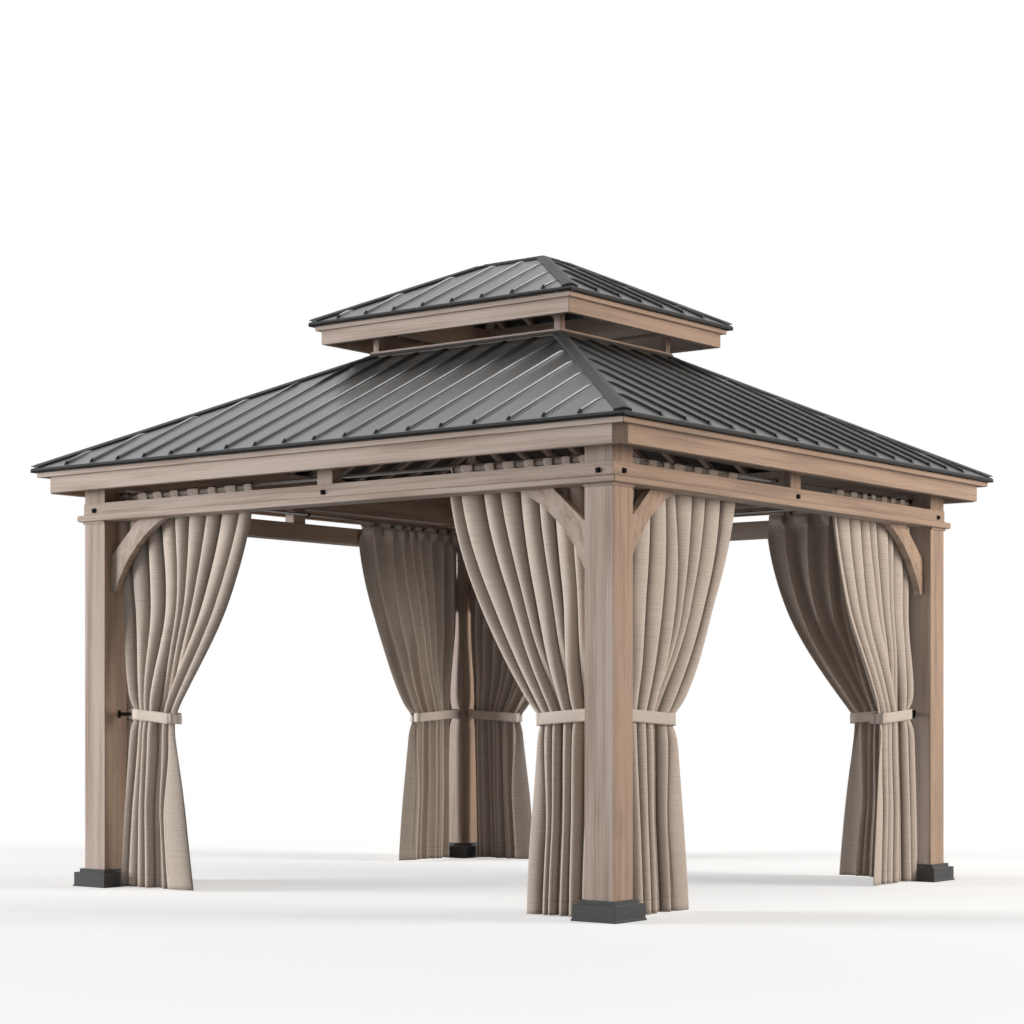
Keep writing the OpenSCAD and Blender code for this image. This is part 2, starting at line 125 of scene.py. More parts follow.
class TimberSettings(bpy.types.PropertyGroup):
    """Colours and edges of the stained softwood"""

    light: colour("Stain", "Colour of the broad pale grain", (0.486, 0.404, 0.356))
    dark: colour("Grain", "Colour of the darker growth lines", (0.275, 0.205, 0.162))
    knot: colour("Knots", "Colour of the small knots", (0.120, 0.080, 0.058))
    # The warm colour is also painted warm light on the faces that face along x, besides the warmer boards.
    warm: colour("Warm boards", "Colour of the boards sawn from warmer stock", (0.470, 0.312, 0.214))
    edge: length("Edge", "Width of the eased edge of each board", 0.0022)


class RoofSettings(bpy.types.PropertyGroup):
    """Finish and seams of the steel sheets"""

    sheet: colour("Sheet", "Colour of the coated steel sheets", (0.178, 0.180, 0.179))
    cap: colour("Covers", "Colour of the hip and ridge covers", (0.064, 0.065, 0.065))
    pitch: length("Seam pitch", "Distance between two standing seams", 0.202)
    seam: length("Seam height", "Height of a standing seam above its pan", 0.0146)
    cover: length("Hip cover", "Width of the cover over each hip", 0.072)
    flashing: length("Flashing", "Width of the flashing round the curb", 0.030)


class FittingSettings(bpy.types.PropertyGroup):
    """Bolts, rods, rings and post bases"""

    black: colour("Black steel", "Colour of bolts, rings and brackets", (0.012, 0.012, 0.013))
    rod: colour("Rods", "Colour of the polished curtain rods", (0.70, 0.71, 0.72))
    base: colour("Bases", "Colour of the powder coated post bases", (0.088, 0.089, 0.090))
    bolt: length("Bolt head", "Width of the square bolt heads", 0.019)
    bolt_out: length("Bolt length", "How far a bolt head stands out", 0.014)
    ring: length("Ring", "Radius of a curtain ring", 0.0125)


class CurtainSettings(bpy.types.PropertyGroup):
    """Cloth, folds and tie bands of the eight curtains"""

    linen: colour("Linen", "Colour of the curtain cloth", (0.470, 0.400, 0.346))
    slub: colour("Slub", "Colour of the darker weft threads", (0.300, 0.248, 0.209))
    band: colour("Bands", "Colour of the tie bands", (0.555, 0.480, 0.425))
    thickness: length("Cloth", "Thickness of the cloth", 0.0022)
    band_height: length("Band height", "Height of a tie band", 0.058)


class StageSettings(bpy.types.PropertyGroup):
    """Floor, lamps, world and camera"""

    ambient: number("Ambient", "Strength of the even light from all round", 0.24, subtype="FACTOR", min=0, max=4)
    key: wattage("Key lamp", "Power of the large lamp at the front left", 2700)
    side: wattage("Side lamp", "Power of the large lamp at the right", 1140)
    low: wattage("Low lamps", "Power of the low lamp at the left; the one at the right has a share of it", 3000)
    focal: number("Lens", "Focal length of the camera", 78.75, unit="CAMERA")


SETTINGS = {
    "gazebo_timber": TimberSettings,
    "gazebo_roof": RoofSettings,
    "gazebo_fittings": FittingSettings,
    "gazebo_curtains": CurtainSettings,
    "gazebo_stage": StageSettings,
}


# ---------------------------------------------------------------- meshes


class Shape:
    """Points and faces of one piece, gathered before its mesh is made."""

    def __init__(self):
        self.points, self.faces, self.across = [], [], {}

    def add(self, points, faces):
        first = len(self.points)
        self.points.extend(Vector(p) for p in points)
        self.faces.extend([i + first for i in f] for f in faces)

    def loft(self, rings, closed=True, ends=True):
        """Joins rings of equally many points; closed joins each ring's last point to its first."""
        n = len(rings[0])
        faces = []
        for j in range(len(rings) - 1):
            for i in range(n if closed else n - 1):
                k = (i + 1) % n
                faces.append([j * n + i, j * n + k, (j + 1) * n + k, (j + 1) * n + i])
        if ends:
            faces.append(list(range(n))[::-1])
            faces.append([(len(rings) - 1) * n + i for i in range(n)])
        self.add([p for ring in rings for p in ring], faces)

    def turned(self, matrix):
        self.points = [matrix @ p for p in self.points]
        return self

    def join(self, other):
        self.add(other.points, other.faces)

    def piece(self, name, material, slot, smooth=math.radians(35)):
        """Makes the mesh, with outward faces and edges sharper than the smooth angle kept crisp."""
        mesh = new_mesh(name, self.points, self.faces)
        bm = bmesh.new()
        bm.from_mesh(mesh)
        bmesh.ops.recalc_face_normals(bm, faces=bm.faces)
        bm.to_mesh(mesh)
        bm.free()
        mesh.polygons.foreach_set("use_smooth", [True] * len(mesh.polygons))
        mesh.set_sharp_from_angle(angle=smooth)
        mesh.materials.append(material)
        return place(name, mesh)


def new_mesh(name, points, faces):
    mesh = bpy.data.meshes.new(name)
    mesh.from_pydata([tuple(p) for p in points], [], faces)
    return mesh


def add_object(name, data):
    """Puts a new object in the scene."""
    obj = bpy.data.objects.new(name, data)
    bpy.context.scene.collection.objects.link(obj)
    return obj


def place(name, mesh):
    """Puts a piece of the gazebo in the scene."""
    obj = add_object(name, mesh)
    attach(obj, "root")
    return obj


def side_turn(side):
    """Turns what is drawn for the front so that it stands at that side."""
    return Matrix.Rotation(math.pi / 2 * side, 4, "Z")


def all_sides(draw, *given):
    """Draws the same thing for each side, by draw(shape, side, ...), and sets it there."""
    shape = Shape()
    for side in range(4):
        part = Shape()
        draw(part, side, *given)
        shape.join(part.turned(side_turn(side)))
    return shape


def half_along(side):
    return HALF_W if side % 2 else HALF_L


def half_across(side):
    return HALF_L if side % 2 else HALF_W


def arc_points(radius, count, turn=0.0):
    return [
        (radius * math.cos(turn + 2 * math.pi * i / count), radius * math.sin(turn + 2 * math.pi * i / count))
        for i in range(count)
    ]


CORNERS = ((-1, -1), (1, -1), (1, 1), (-1, 1))


def box_rings(low, high, ease):
    """Four rings of a box with eased edges, drawn along z."""
    (x0, y0, z0), (x1, y1, z1) = low, high

    def ring(z, inset):
        return [
            (x0 + inset, y0 + inset, z), (x1 - inset, y0 + inset, z),
            (x1 - inset, y1 - inset, z), (x0 + inset, y1 - inset, z),
        ]

    return [ring(z0, ease), ring(z0 + ease, 0), ring(z1 - ease, 0), ring(z1, ease)]


def smoothstep(low, high, x):
    t = np.clip((x - low) / (high - low), 0.0, 1.0)
    return t * t * (3 - 2 * t)


# ---------------------------------------------------------------- materials


def add_node(tree, kind, inputs=None, **settings):
    """Adds a shader node, sets its settings, and sets or links its inputs by name or number."""
    made = tree.nodes.new("ShaderNode" + kind)
    for key, value in settings.items():
        setattr(made, key, value)
    for key, value in (inputs or {}).items():
        if isinstance(value, bpy.types.NodeSocket):
            tree.links.new(value, made.inputs[key])
        else:
            made.inputs[key].default_value = value
    return made


def axes(tree, value):
    """The three parts of a vector."""
    return add_node(tree, "SeparateXYZ", {0: value}).outputs[:3]


def facing(tree, axis):
    """How far the surface faces along an axis: its normal's part on it."""
    return axes(tree, add_node(tree, "NewGeometry").outputs["Normal"])[axis]


def dot(tree, way, axis):
    """How far one direction runs along another."""
    return add_node(tree, "VectorMath", {0: way, 1: axis}, operation="DOT_PRODUCT").outputs["Value"]


def scaled(tree, tint, tone):
    """A colour times a number."""
    return add_node(tree, "VectorMath", {0: tint, 3: tone}, operation="SCALE").outputs[0]


def maths(tree, operation, *values, clamp=False):
    return add_node(tree, "Math", dict(enumerate(values)), operation=operation, use_clamp=clamp).outputs[0]


def sums(tree):
    """Adding, subtracting and multiplying nodes for one tree."""
    return (partial(maths, tree, operation) for operation in ("ADD", "SUBTRACT", "MULTIPLY"))


def vector(tree, x, y, z):
    return add_node(tree, "CombineXYZ", {0: x, 1: y, 2: z}).outputs[0]


def stretched(tree, parts, *scales):
    """Vector of some values, each times its scale."""
    long = [maths(tree, "MULTIPLY", part, scale) for part, scale in zip(parts, scales)]
    return vector(tree, *long, *[0.0] * (3 - len(long)))


def blend(tree, factor, a, b):
    """Mix of two colours."""
    return add_node(tree, "Mix", {0: factor, 6: a, 7: b}, data_type="RGBA").outputs[2]


def choose(tree, factor, a, b):
    """Mix of two numbers: a where the factor is 0, b where it is 1."""
    return add_node(tree, "Mix", {0: factor, 2: a, 3: b}, data_type="FLOAT").outputs[0]


def ramp(tree, value, low, high, to_low=0.0, to_high=1.0):
    reach = {0: value, 1: low, 2: high, 3: to_low, 4: to_high}
    return add_node(tree, "MapRange", reach, interpolation_type="SMOOTHSTEP").outputs[0]


def noise(tree, where, scale, detail=3.0, rough=0.5):
    grain = {"Vector": where, "Scale": scale, "Detail": detail, "Roughness": rough}
    return add_node(tree, "TexNoise", grain).outputs["Fac"]


def new_group(name, inputs):
    """A surface's node group with named inputs, or None for its inputs and outputs if it was already built."""
    made = bpy.data.node_groups.get(name)
    if made:
        return made, None, None
    made = bpy.data.node_groups.new(name, "ShaderNodeTree")
    for key, kind, value in inputs:
        socket = made.interface.new_socket(key, in_out="INPUT", socket_type="NodeSocket" + kind)
        if value is not None:
            socket.default_value = value
    for key, kind in (("Color", "Color"), ("Roughness", "Float"), ("Height", "Float")):
        made.interface.new_socket(key, in_out="OUTPUT", socket_type="NodeSocket" + kind)
    return made, made.nodes.new("NodeGroupInput").outputs, made.nodes.new("NodeGroupOutput").inputs


def surface(tree, shader, group, relief, **inputs):
    """Runs a shader from a surface's group. Relief is the depth of its height in metres."""
    given = {key.replace("_", " ").title(): value for key, value in inputs.items()}
    made = add_node(tree, "Group", given, node_tree=group).outputs
    tree.links.new(made["Color"], shader.inputs["Base Color"])
    tree.links.new(made["Roughness"], shader.inputs["Roughness"])
    raised = add_node(tree, "Bump", {"Height": made["Height"], "Distance": relief, "Strength": 1.0})
    tree.links.new(raised.outputs[0], shader.inputs["Normal"])


def new_material(name):
    """A material with one Principled shader. Gives the material, its tree, the shader and the object's coordinates."""
    made = bpy.data.materials.new(name)
    made.use_nodes = True
    tree = made.node_tree
    tree.nodes.clear()
    shader = tree.nodes.new("ShaderNodeBsdfPrincipled")
    out = tree.nodes.new("ShaderNodeOutputMaterial")
    tree.links.new(shader.outputs[0], out.inputs["Surface"])
    where = tree.nodes.new("ShaderNodeTexCoord").outputs["Object"]
    return made, tree, shader, where


def rgba(values):
    return (*values, 1.0)


WIDE_STRIP, POST_STRIP = 0.09, 0.045  # width of a strip of one tone in the boards and in the posts


def timber_group():
    """Grain of a softwood board, with painted warm light on the faces that face along x. Along runs with the grain;
    Board sets one board apart from the next.
    """
    group, given, out = new_group(
        "Timber Grain",
        [
            ("Grain Space", "Vector", None), ("Board", "Float", 0.0), ("Strip Width", "Float", 0.05),
            ("Stain", "Color", None), ("Grain", "Color", None), ("Knots", "Color", None), ("Warm", "Color", None),
        ],
    )
    if out is None:
        return group
    add, less, times = sums(group)
    along, lift, deep = axes(group, given["Grain Space"])
    shift = times(given["Board"], 3.71)
    along, lift = add(along, shift), add(lift, shift)
    spot = (along, lift, deep)
    streaks = noise(group, stretched(group, spot, 1.1, 26.0, 26.0), 1.0, 4.0, 0.55)
    fibre = noise(group, stretched(group, spot, 9.0, 330.0, 330.0), 1.0, 2.0, 0.6)
    cloud = noise(group, stretched(group, spot, 1.3, 5.0, 5.0), 1.0, 2.0, 0.5)
    rings = add_node(
        group, "TexWave",
        {
            "Vector": vector(group, times(along, 0.35), lift, deep),
            "Scale": 17.0, "Distortion": 7.0, "Detail": 2.5, "Detail Scale": 0.55, "Detail Roughness": 0.5,
        },
        wave_type="BANDS", bands_direction="Y",
    ).outputs["Fac"]
    strips = [maths(group, "FLOOR", maths(group, "DIVIDE", part, given["Strip Width"])) for part in (lift, deep)]
    strip = add_node(
        group, "TexWhiteNoise", {"Vector": vector(group, *strips, given["Board"])}, noise_dimensions="3D"
    ).outputs[0]
    knots = add_node(
        group, "TexVoronoi", {"Vector": stretched(group, spot, 1.25, 6.0, 6.0), "Scale": 1.0}, feature="F1"
    )
    away = knots.outputs["Distance"]
    rare = maths(group, "GREATER_THAN", add_node(group, "SeparateColor", {0: knots.outputs["Color"]}).outputs[0], 0.45)
    centre = times(ramp(group, away, 0.018, 0.055, 1.0, 0.0), rare)
    halo = times(ramp(group, away, 0.03, 0.20, 1.0, 0.0), rare)
    amount = times(ramp(group, streaks, 0.42, 0.70), 0.54)
    for part, weight in (
        (ramp(group, rings, 0.55, 1.0), 0.17), (less(strip, 0.4), 0.24),
        (ramp(group, cloud, 0.35, 0.75), 0.20), (less(fibre, 0.5), 0.30),
    ):
        amount = add(amount, times(part, weight))
    amount = add(amount, times(halo, 0.30), clamp=True)
    # Faces that face along x are blended towards the warm colour: painted warm side light; the cloud patches add real
    # warmer stock.
    painted_side_light = ramp(group, maths(group, "ABSOLUTE", facing(group, 0)), 0.35, 0.95, 0.0, 0.78)
    warm_stock_and_painted_side_light = add(painted_side_light, times(less(cloud, 0.42), 0.5), clamp=True)
    stain = blend(group, warm_stock_and_painted_side_light, given["Stain"], given["Warm"])
    made = blend(group, amount, stain, given["Grain"])
    made = blend(group, times(centre, 0.8), made, given["Knots"])
    group.links.new(made, out["Color"])
    group.links.new(ramp(group, amount, 0.0, 1.0, 0.52, 0.72), out["Roughness"])
    group.links.new(less(times(fibre, 0.5), times(amount, 0.9)), out["Height"])
    return group


def timber(run):
    """Stained softwood whose grain runs upright, along the sides, up the slopes, down the hips or along the braces."""
    name = "timber_" + run
    if name in bpy.data.materials:
        return bpy.data.materials[name]
    look = bpy.context.scene.gazebo_timber
    made, tree, shader, where = new_material(name)
    add, less, times = sums(tree)
    x, y, z = axes(tree, where)
    wide, deep = maths(tree, "ABSOLUTE", x), maths(tree, "ABSOLUTE", y)
    ahead = maths(tree, "GREATER_THAN", add(deep, HALF_L - HALF_W), wide)
    right, back = maths(tree, "SIGN", x), times(maths(tree, "SIGN", y), 2.3)
    board = add(right, back)
    if run == "upright":
        space = vector(tree, z, x, y)
    elif run == "side":
        space = vector(tree, choose(tree, ahead, y, x), z, choose(tree, ahead, x, y))
        board = choose(tree, ahead, right, back)
    elif run == "slope":
        space = vector(tree, choose(tree, ahead, x, y), choose(tree, ahead, y, x), z)
        pitch = bpy.context.scene.gazebo_roof.pitch
        row = maths(tree, "FLOOR", maths(tree, "DIVIDE", choose(tree, ahead, y, x), pitch))
        board = add(row, times(board, 0.37))
    elif run == "hip":
        space = vector(tree, times(add(wide, deep), 0.707), times(less(wide, deep), 0.707), z)
    else:
        out = choose(tree, ahead, deep, wide)
        space = vector(tree, times(less(z, out), 0.707), times(add(z, out), 0.707), out)
    surface(
        tree, shader, timber_group(), 0.0006, grain_space=space, board=board,
        strip_width=POST_STRIP if run == "upright" else WIDE_STRIP,
        stain=rgba(look.light), grain=rgba(look.dark), knots=rgba(look.knot), warm=rgba(look.warm),
    )
    shader.inputs["Specular IOR Level"].default_value = 0.35
    return made


def coat_group():
    """Coated metal: faint clouding of its colour, small changes of gloss, fine orange peel and slow waves, and painted
    shade on the faces that look down.
    """
    group, given, out = new_group(
        "Coated Metal",
        [
            ("Place", "Vector", None), ("Color", "Color", None), ("Gloss", "Float", 0.4),
            ("Clouding", "Float", 0.1), ("Peel Scale", "Float", 600.0), ("Wave", "Float", 1.0), ("Under", "Float", 1.0),
        ],
    )
    if out is None:
        return group
    add, less, times = sums(group)
    cloud = less(noise(group, given["Place"], 2.3, 3.0, 0.55), 0.5)
    dust = less(noise(group, given["Place"], 38.0, 4.0, 0.65), 0.5)
    peel = noise(group, given["Place"], given["Peel Scale"], 1.0)
    wave = noise(group, given["Place"], 3.1, 1.0)
    tone = add(times(add(times(cloud, 1.3), times(dust, 0.7)), given["Clouding"]), 1.0)
    # Faces that look down are darkened by the Under factor: painted shade under the sheets.
    tone = times(tone, choose(group, ramp(group, facing(group, 2), -0.55, -0.35), given["Under"], 1.0))
    group.links.new(scaled(group, given["Color"], tone), out["Color"])
    group.links.new(add(add(given["Gloss"], times(dust, 0.05)), times(cloud, 0.10)), out["Roughness"])
    group.links.new(add(times(peel, 0.008), times(wave, given["Wave"])), out["Height"])
    return group


def coated(name, tint, gloss, metallic, clouding=0.12, peel=600.0, wave=1.0, under=1.0):
    """Coated or bare metal finish; an under factor below 1 paints shade on the faces that look down."""
    if name in bpy.data.materials:
        return bpy.data.materials[name]
    made, tree, shader, where = new_material(name)
    surface(
        tree, shader, coat_group(), 0.002, place=where, color=rgba(tint), gloss=gloss, clouding=clouding,
        peel_scale=peel, wave=wave, under=under,
    )
    shader.inputs["Metallic"].default_value = metallic
    return made


def sheet_metal():
    look = bpy.context.scene.gazebo_roof
    return coated("sheet_metal", look.sheet, 0.30, 0.60, clouding=0.10, wave=0.8, under=0.52)


def cover_metal():
    look = bpy.context.scene.gazebo_roof
    made = coated("cover_metal", look.cap, 0.50, 0.0, clouding=0.10, wave=0.8, under=0.6)
    made.node_tree.nodes["Principled BSDF"].inputs["Specular IOR Level"].default_value = 0.22
    return made


def black_steel():
    look = bpy.context.scene.gazebo_fittings
    return coated("black_steel", look.black, 0.42, 0.0, clouding=0.3, peel=900.0, wave=0.0)


THREAD = 0.0016  # pitch of the threads
RIB = 0.0086  # pitch of the thicker weft lines
PAINTED_FOLD_SHADE = (0.27, 1.26)  # painted shade in a fold's valley and painted light on its ridge, as factors on the cloth colour
PAINTED_SIDE_FOLD_SHADE = (0.08, 1.40)  # the same painted shade and light, stronger, on the right-hand side


def weave_group():
    """Plain linen weave with a stitched hem, with painted shade in its fold valleys and painted light on its ridges and
    inner face. Place is the flat cloth in metres.
    """
    group, given, out = new_group(
        "Linen Weave",
        [
            ("Place", "Vector", None), ("Cloth", "Color", None), ("Slub", "Color", None),
            ("Width", "Float", 1.6), ("Hem", "Float", 0.05), ("Top", "Float", 2.0), ("Crest", "Float", 0.5),
            ("Out", "Vector", None), ("Valley", "Float", 0.27), ("Ridge", "Float", 1.26),
        ],
    )
    if out is None:
        return group
    add, less, times = sums(group)
    across, up, _ = axes(group, given["Place"])
    lines = noise(group, stretched(group, (across, up), 5.0, 130.0), 1.0, 3.0, 0.6)
    fine = noise(group, stretched(group, (across, up), 16.0, 420.0), 1.0, 2.0, 0.6)
    warp = noise(group, stretched(group, (across, up), 420.0, 14.0), 1.0, 2.0, 0.6)
    threads = times(*(maths(group, "SINE", times(part, 2 * math.pi / THREAD)) for part in (across, up)))
    ribs = maths(group, "SINE", add(times(up, 2 * math.pi / RIB), times(lines, 4.0)))
    tone = times(ramp(group, lines, 0.36, 0.70), 0.24)
    for part, weight in (
        (add(ribs, 0.6), 0.20), (ramp(group, fine, 0.35, 0.75), 0.30), (ramp(group, warp, 0.40, 0.75), 0.16)
    ):
        tone = add(tone, times(part, weight))
    edge = across
    for other in (less(given["Width"], across), less(up, 0.02), less(given["Top"], up)):
        edge = maths(group, "MINIMUM", edge, other)
    stitch = ramp(group, maths(group, "ABSOLUTE", less(edge, given["Hem"])), 0.0008, 0.0030, 1.0, 0.0)
    tone = add(tone, times(stitch, 0.5), clamp=True)
    # Painted light and shade by the fold crest: the outer face darker in its valleys and lighter on its ridges, the
    # inner face lighter overall and most on its own ridges.
    outward = dot(group, add_node(group, "NewGeometry").outputs["Normal"], given["Out"])
    inner = ramp(group, given["Crest"], 0.10, 1.0, 1.85, 0.95)
    outer = ramp(group, given["Crest"], 0.0, 0.88, given["Valley"], given["Ridge"])
    fade = choose(group, ramp(group, outward, -0.12, 0.12), inner, outer)
    group.links.new(scaled(group, blend(group, tone, given["Cloth"], given["Slub"]), fade), out["Color"])
    group.links.new(ramp(group, tone, 0.0, 1.0, 0.82, 0.95), out["Roughness"])
    height = add(add(times(threads, 0.12), times(lines, -0.9)), times(fine, -0.5))
    group.links.new(less(height, times(stitch, 0.9)), out["Height"])
    return group


def linen(name, cloth, slub, width, top, out=(0, 0, 0), shade=PAINTED_FOLD_SHADE):
    """Woven linen that reads the flat cloth's map."""
    made, tree, shader, _ = new_material(name)
    flat, crest = (add_node(tree, "UVMap", uv_map=name).outputs[0] for name in ("cloth", "crest"))
    surface(
        tree, shader, weave_group(), 0.0009, place=flat, cloth=rgba(cloth), slub=rgba(slub), width=width, top=top,
        crest=axes(tree, crest)[0], out=out, valley=shade[0], ridge=shade[1],
    )
    for key, value in (("Specular IOR Level", 0.2), ("Sheen Weight", 0.12), ("Sheen Roughness", 0.5)):
        shader.inputs[key].default_value = value
    return made


# ---------------------------------------------------------------- timber, bases, rods


def finish_node(name, material, edge):
    """Gives a packed part its material, and eases its edges."""
    obj = NODES[name]
    for slot in obj.material_slots:
        slot.material = material
    weld = obj.modifiers.new("Join", "WELD")
    weld.merge_threshold = 1e-5
    flat = obj.modifiers.new("Flatten", "DECIMATE")
    flat.decimate_type = "DISSOLVE"
    flat.angle_limit = math.radians(0.5)
    ease = obj.modifiers.new("Ease edges", "BEVEL")
    ease.width = edge
    ease.segments = 2
    ease.limit_method = "ANGLE"
    ease.angle_limit = math.radians(35)
    ease.harden_normals = True


TIMBER_RUNS = {
    "upright": (
        "post_front_left", "post_front_right", "post_back_left", "post_back_right", "stub_posts", "cupola_posts",
        "fascia_corners",
    ),
    "side": (
        "tie_beam_front", "tie_beam_right", "tie_beam_back", "tie_beam_left", "ledge", "top_plates", "fascia",
        "eave_trim", "cupola_curb", "cupola_plates", "cupola_fascia", "cupola_trim",
    ),
    "slope": ("rafters",),
    "hip": ("hip_rafters", "cupola_rafters"),
    "brace": ("braces_front", "braces_right", "braces_back", "braces_left"),
}


class GAZEBO_OT_timber(bpy.types.Operator):
    """Finish the posts, beams, braces, fascias and rafters as stained softwood with eased edges"""

    bl_idname = "gazebo.timber"
    bl_label = "Timber"

    def execute(self, context):
        edge = context.scene.gazebo_timber.edge
        for run, names in TIMBER_RUNS.items():
            for name in names:
                finish_node(name, timber(run), edge)
        return {"FINISHED"}


class GAZEBO_OT_bases(bpy.types.Operator):
    """Finish the post bases as powder coated steel"""

    bl_idname = "gazebo.bases"
    bl_label = "Post Bases"

    def execute(self, context):
        tint = context.scene.gazebo_fittings.base
        finish_node("post_bases", coated("powder_coat", tint, 0.50, 0.0, clouding=0.14, peel=900.0, wave=0.2), 0.0035)
        return {"FINISHED"}


class GAZEBO_OT_collars(bpy.types.Operator):
    """Fit the narrow collar under the ledge on the two outer faces of each post"""

    bl_idname = "gazebo.collars"
    bl_label = "Post Collars"

    def execute(self, context):
        shape = Shape()
        tall, out = 0.012, 0.008
        section = [(0, -tall), (out - 0.003, -tall), (out, -tall + 0.003), (out, 0), (0, 0)]
        path = (HALF_L - POST_W, HALF_W, 0, 1), (HALF_L, HALF_W, 1, 1), (HALF_L, HALF_W - POST_W, 1, 0)
        for sx, sy in product((-1, 1), repeat=2):
            shape.loft([
                [(sx * (x + dx * o), sy * (y + dy * o), LEDGE_Z + z) for o, z in section] for x, y, dx, dy in path
            ])
        shape.piece("post_collars", timber("side"), "timber")
        return {"FINISHED"}


class GAZEBO_OT_bolts(bpy.types.Operator):
    """Fit the square black bolt heads to the tie beams"""

    bl_idname = "gazebo.bolts"
    bl_label = "Beam Bolts"

    def execute(self, context):
        look = context.scene.gazebo_fittings
        all_sides(self.heads, look.bolt / 2, look.bolt_out).piece(
            "beam_bolts", black_steel(), "rod_steel", math.radians(30)
        )
        return {"FINISHED"}

    def heads(self, shape, side, half, out):
        """Three square heads on washers: over both posts and at mid beam."""
        y, z = -half_across(side) - BEAM_OUT, (BEAM_LOW.z + BEAM_HIGH.z) / 2 - 0.008
        inset = half_along(side) - POST_W / 2
        profile = (
            (-0.004, half + 0.003), (0.0015, half + 0.003), (0.0025, half + 0.002), (0.0025, half),
            (out - 0.004, half), (out - 0.001, half - 0.003), (out, half - 0.0055),
        )
        for x in (-inset, 0.0, inset):
            shape.loft([[(x + a * size, y - reach, z + b * size) for a, b in CORNERS] for reach, size in profile])


# ---------------------------------------------------------------- roof


# Left half of a seam's section: offset, and share of its height.
SEAM_HALF = [
    (-0.0096, 0.00), (-0.0092, 0.05), (-0.0074, 0.13), (-0.0068, 0.54), (-0.0062, 0.62), (-0.0028, 0.93),
    (-0.0014, 1.00),
]
SEAM_SECTION = SEAM_HALF + [(-u, v) for u, v in SEAM_HALF[::-1]]
SEAM_START = 0.032  # how far the seams stop short of the eave
SEAM_SINK = 0.0004  # how far a seam's foot sinks into its pan
HEM_DEEP = 0.0020  # how far a sheet stands back behind its folded hem
MAIN_GAP, CUPOLA_GAP = 0.004, 0.012  # how far the seams stop short of the top
RIDGE_GAP = 0.008  # how far the hip covers of the cupola stop short of its ridge


def seam_frame(roof, side, x):
    """Point on a slope at a distance from the eave, and the slope's upward direction."""
    b = roof.half_across(side)
    pitch = math.atan(roof.slope)

    def foot(d):
        return Vector((x, -b + d, roof.top(d) - SEAM_SINK))

    return foot, Vector((0, -math.sin(pitch), math.cos(pitch)))


def seam(shape, roof, side, x, end, tall):
    """One standing seam up the slope, cut back at the eave and run down into its pan at the top."""
    foot, up = seam_frame(roof, side, x)
    rings = []
    for d, h, w in (
        (SEAM_START, 0.12, 0.6), (SEAM_START, 0.97, 0.9), (SEAM_START + 0.002, 1.0, 1.0), (end - 0.060, 1.0, 1.0),
        (end - 0.040, 0.93, 1.0), (end - 0.022, 0.70, 1.0), (end - 0.008, 0.38, 1.0), (end, 0.12, 1.0),
    ):
        rings.append([foot(d) + Vector((w * u, 0, 0)) + up * (tall * h * v) for u, v in SEAM_SECTION])
    shape.loft(rings)


def seam_end_shadow(shape, roof, side, x, tall):
    """Black wedge at the lower end of a seam, a dark piece standing in for the shade there: painted shade."""
    foot, up = seam_frame(roof, side, x)
    d0 = SEAM_START
    rings = []
    for d, h, w in (
        (d0 - 0.016, 0.0012, 0.0090), (d0 - 0.014, 0.0026, 0.0090), (d0 - 0.001, tall - 0.001, 0.0080),
        (d0 + 0.003, tall + 0.0010, 0.0080), (d0 + 0.005, tall + 0.0010, 0.0080),
    ):
        outline = ((-1, 0), (-1, h * 0.7), (-0.5, h), (0.5, h), (1, h * 0.7), (1, 0))
        rings.append([foot(d) + Vector((q * w, 0, 0)) + up * v for q, v in outline])
    shape.loft(rings)


def seam_places(roof, side, look, top_gap):
    """Where the seams of one slope stand along the eave, and where each ends up the slope."""
    reach = look.cover / 2 * math.sqrt(2) + 0.004
    a = roof.half_along(side)
    count = int((a - 0.1) / look.pitch + 0.5)
    for i in range(-count, count):
        x = (i + 0.5) * look.pitch
        end = min(roof.run - top_gap, a - abs(x) - reach)
        if end > 0.09:
            yield x, end


def eave_strip(shape, side, roof, section, gap=0.0):
    """Carries a section along one side, mitred at both ends: distance from the eave, and height above it."""
    a, b = roof.half_along(side), roof.half_across(side)
    shape.loft([[(e * (a - d - gap), -b + d, roof.eave_z + z) for d, z in section] for e in (-1, 1)])


def sheet_side(shape, side, roof, look, top_gap):
    """Pans of one slope as one folded sheet with a hemmed eave, and its standing seams."""
    run, rise, t = roof.run, roof.slope, SHEET_T
    section = [
        (HEM_DEEP, -t), (HEM_DEEP, -0.0010), (0.0034, 0.0034 * rise), (run, run * rise), (run, run * rise - t),
    ]
    eave_strip(shape, side, roof, section, 0.0004)
    for x, end in seam_places(roof, side, look, top_gap):
        seam(shape, roof, side, x, end, look.seam)


def seam_ends(shape, side, roof, look, top_gap):
    """The black wedges of painted shade at the lower ends of one slope's seams."""
    for x, _ in seam_places(roof, side, look, top_gap):
        seam_end_shadow(shape, roof, side, x, look.seam)


def eave_hem(shape, side, roof, low, high):
    """Folded hem in front of one slope's lower edge, between two heights below the sheet; also drawn as the black strip
    of painted shade below the hem.
    """
    back = HEM_DEEP - 0.0002
    eave_strip(shape, side, roof, [(0.0, low), (0.0, high - 0.0010), (0.0006, high), (back, high), (back, low)])


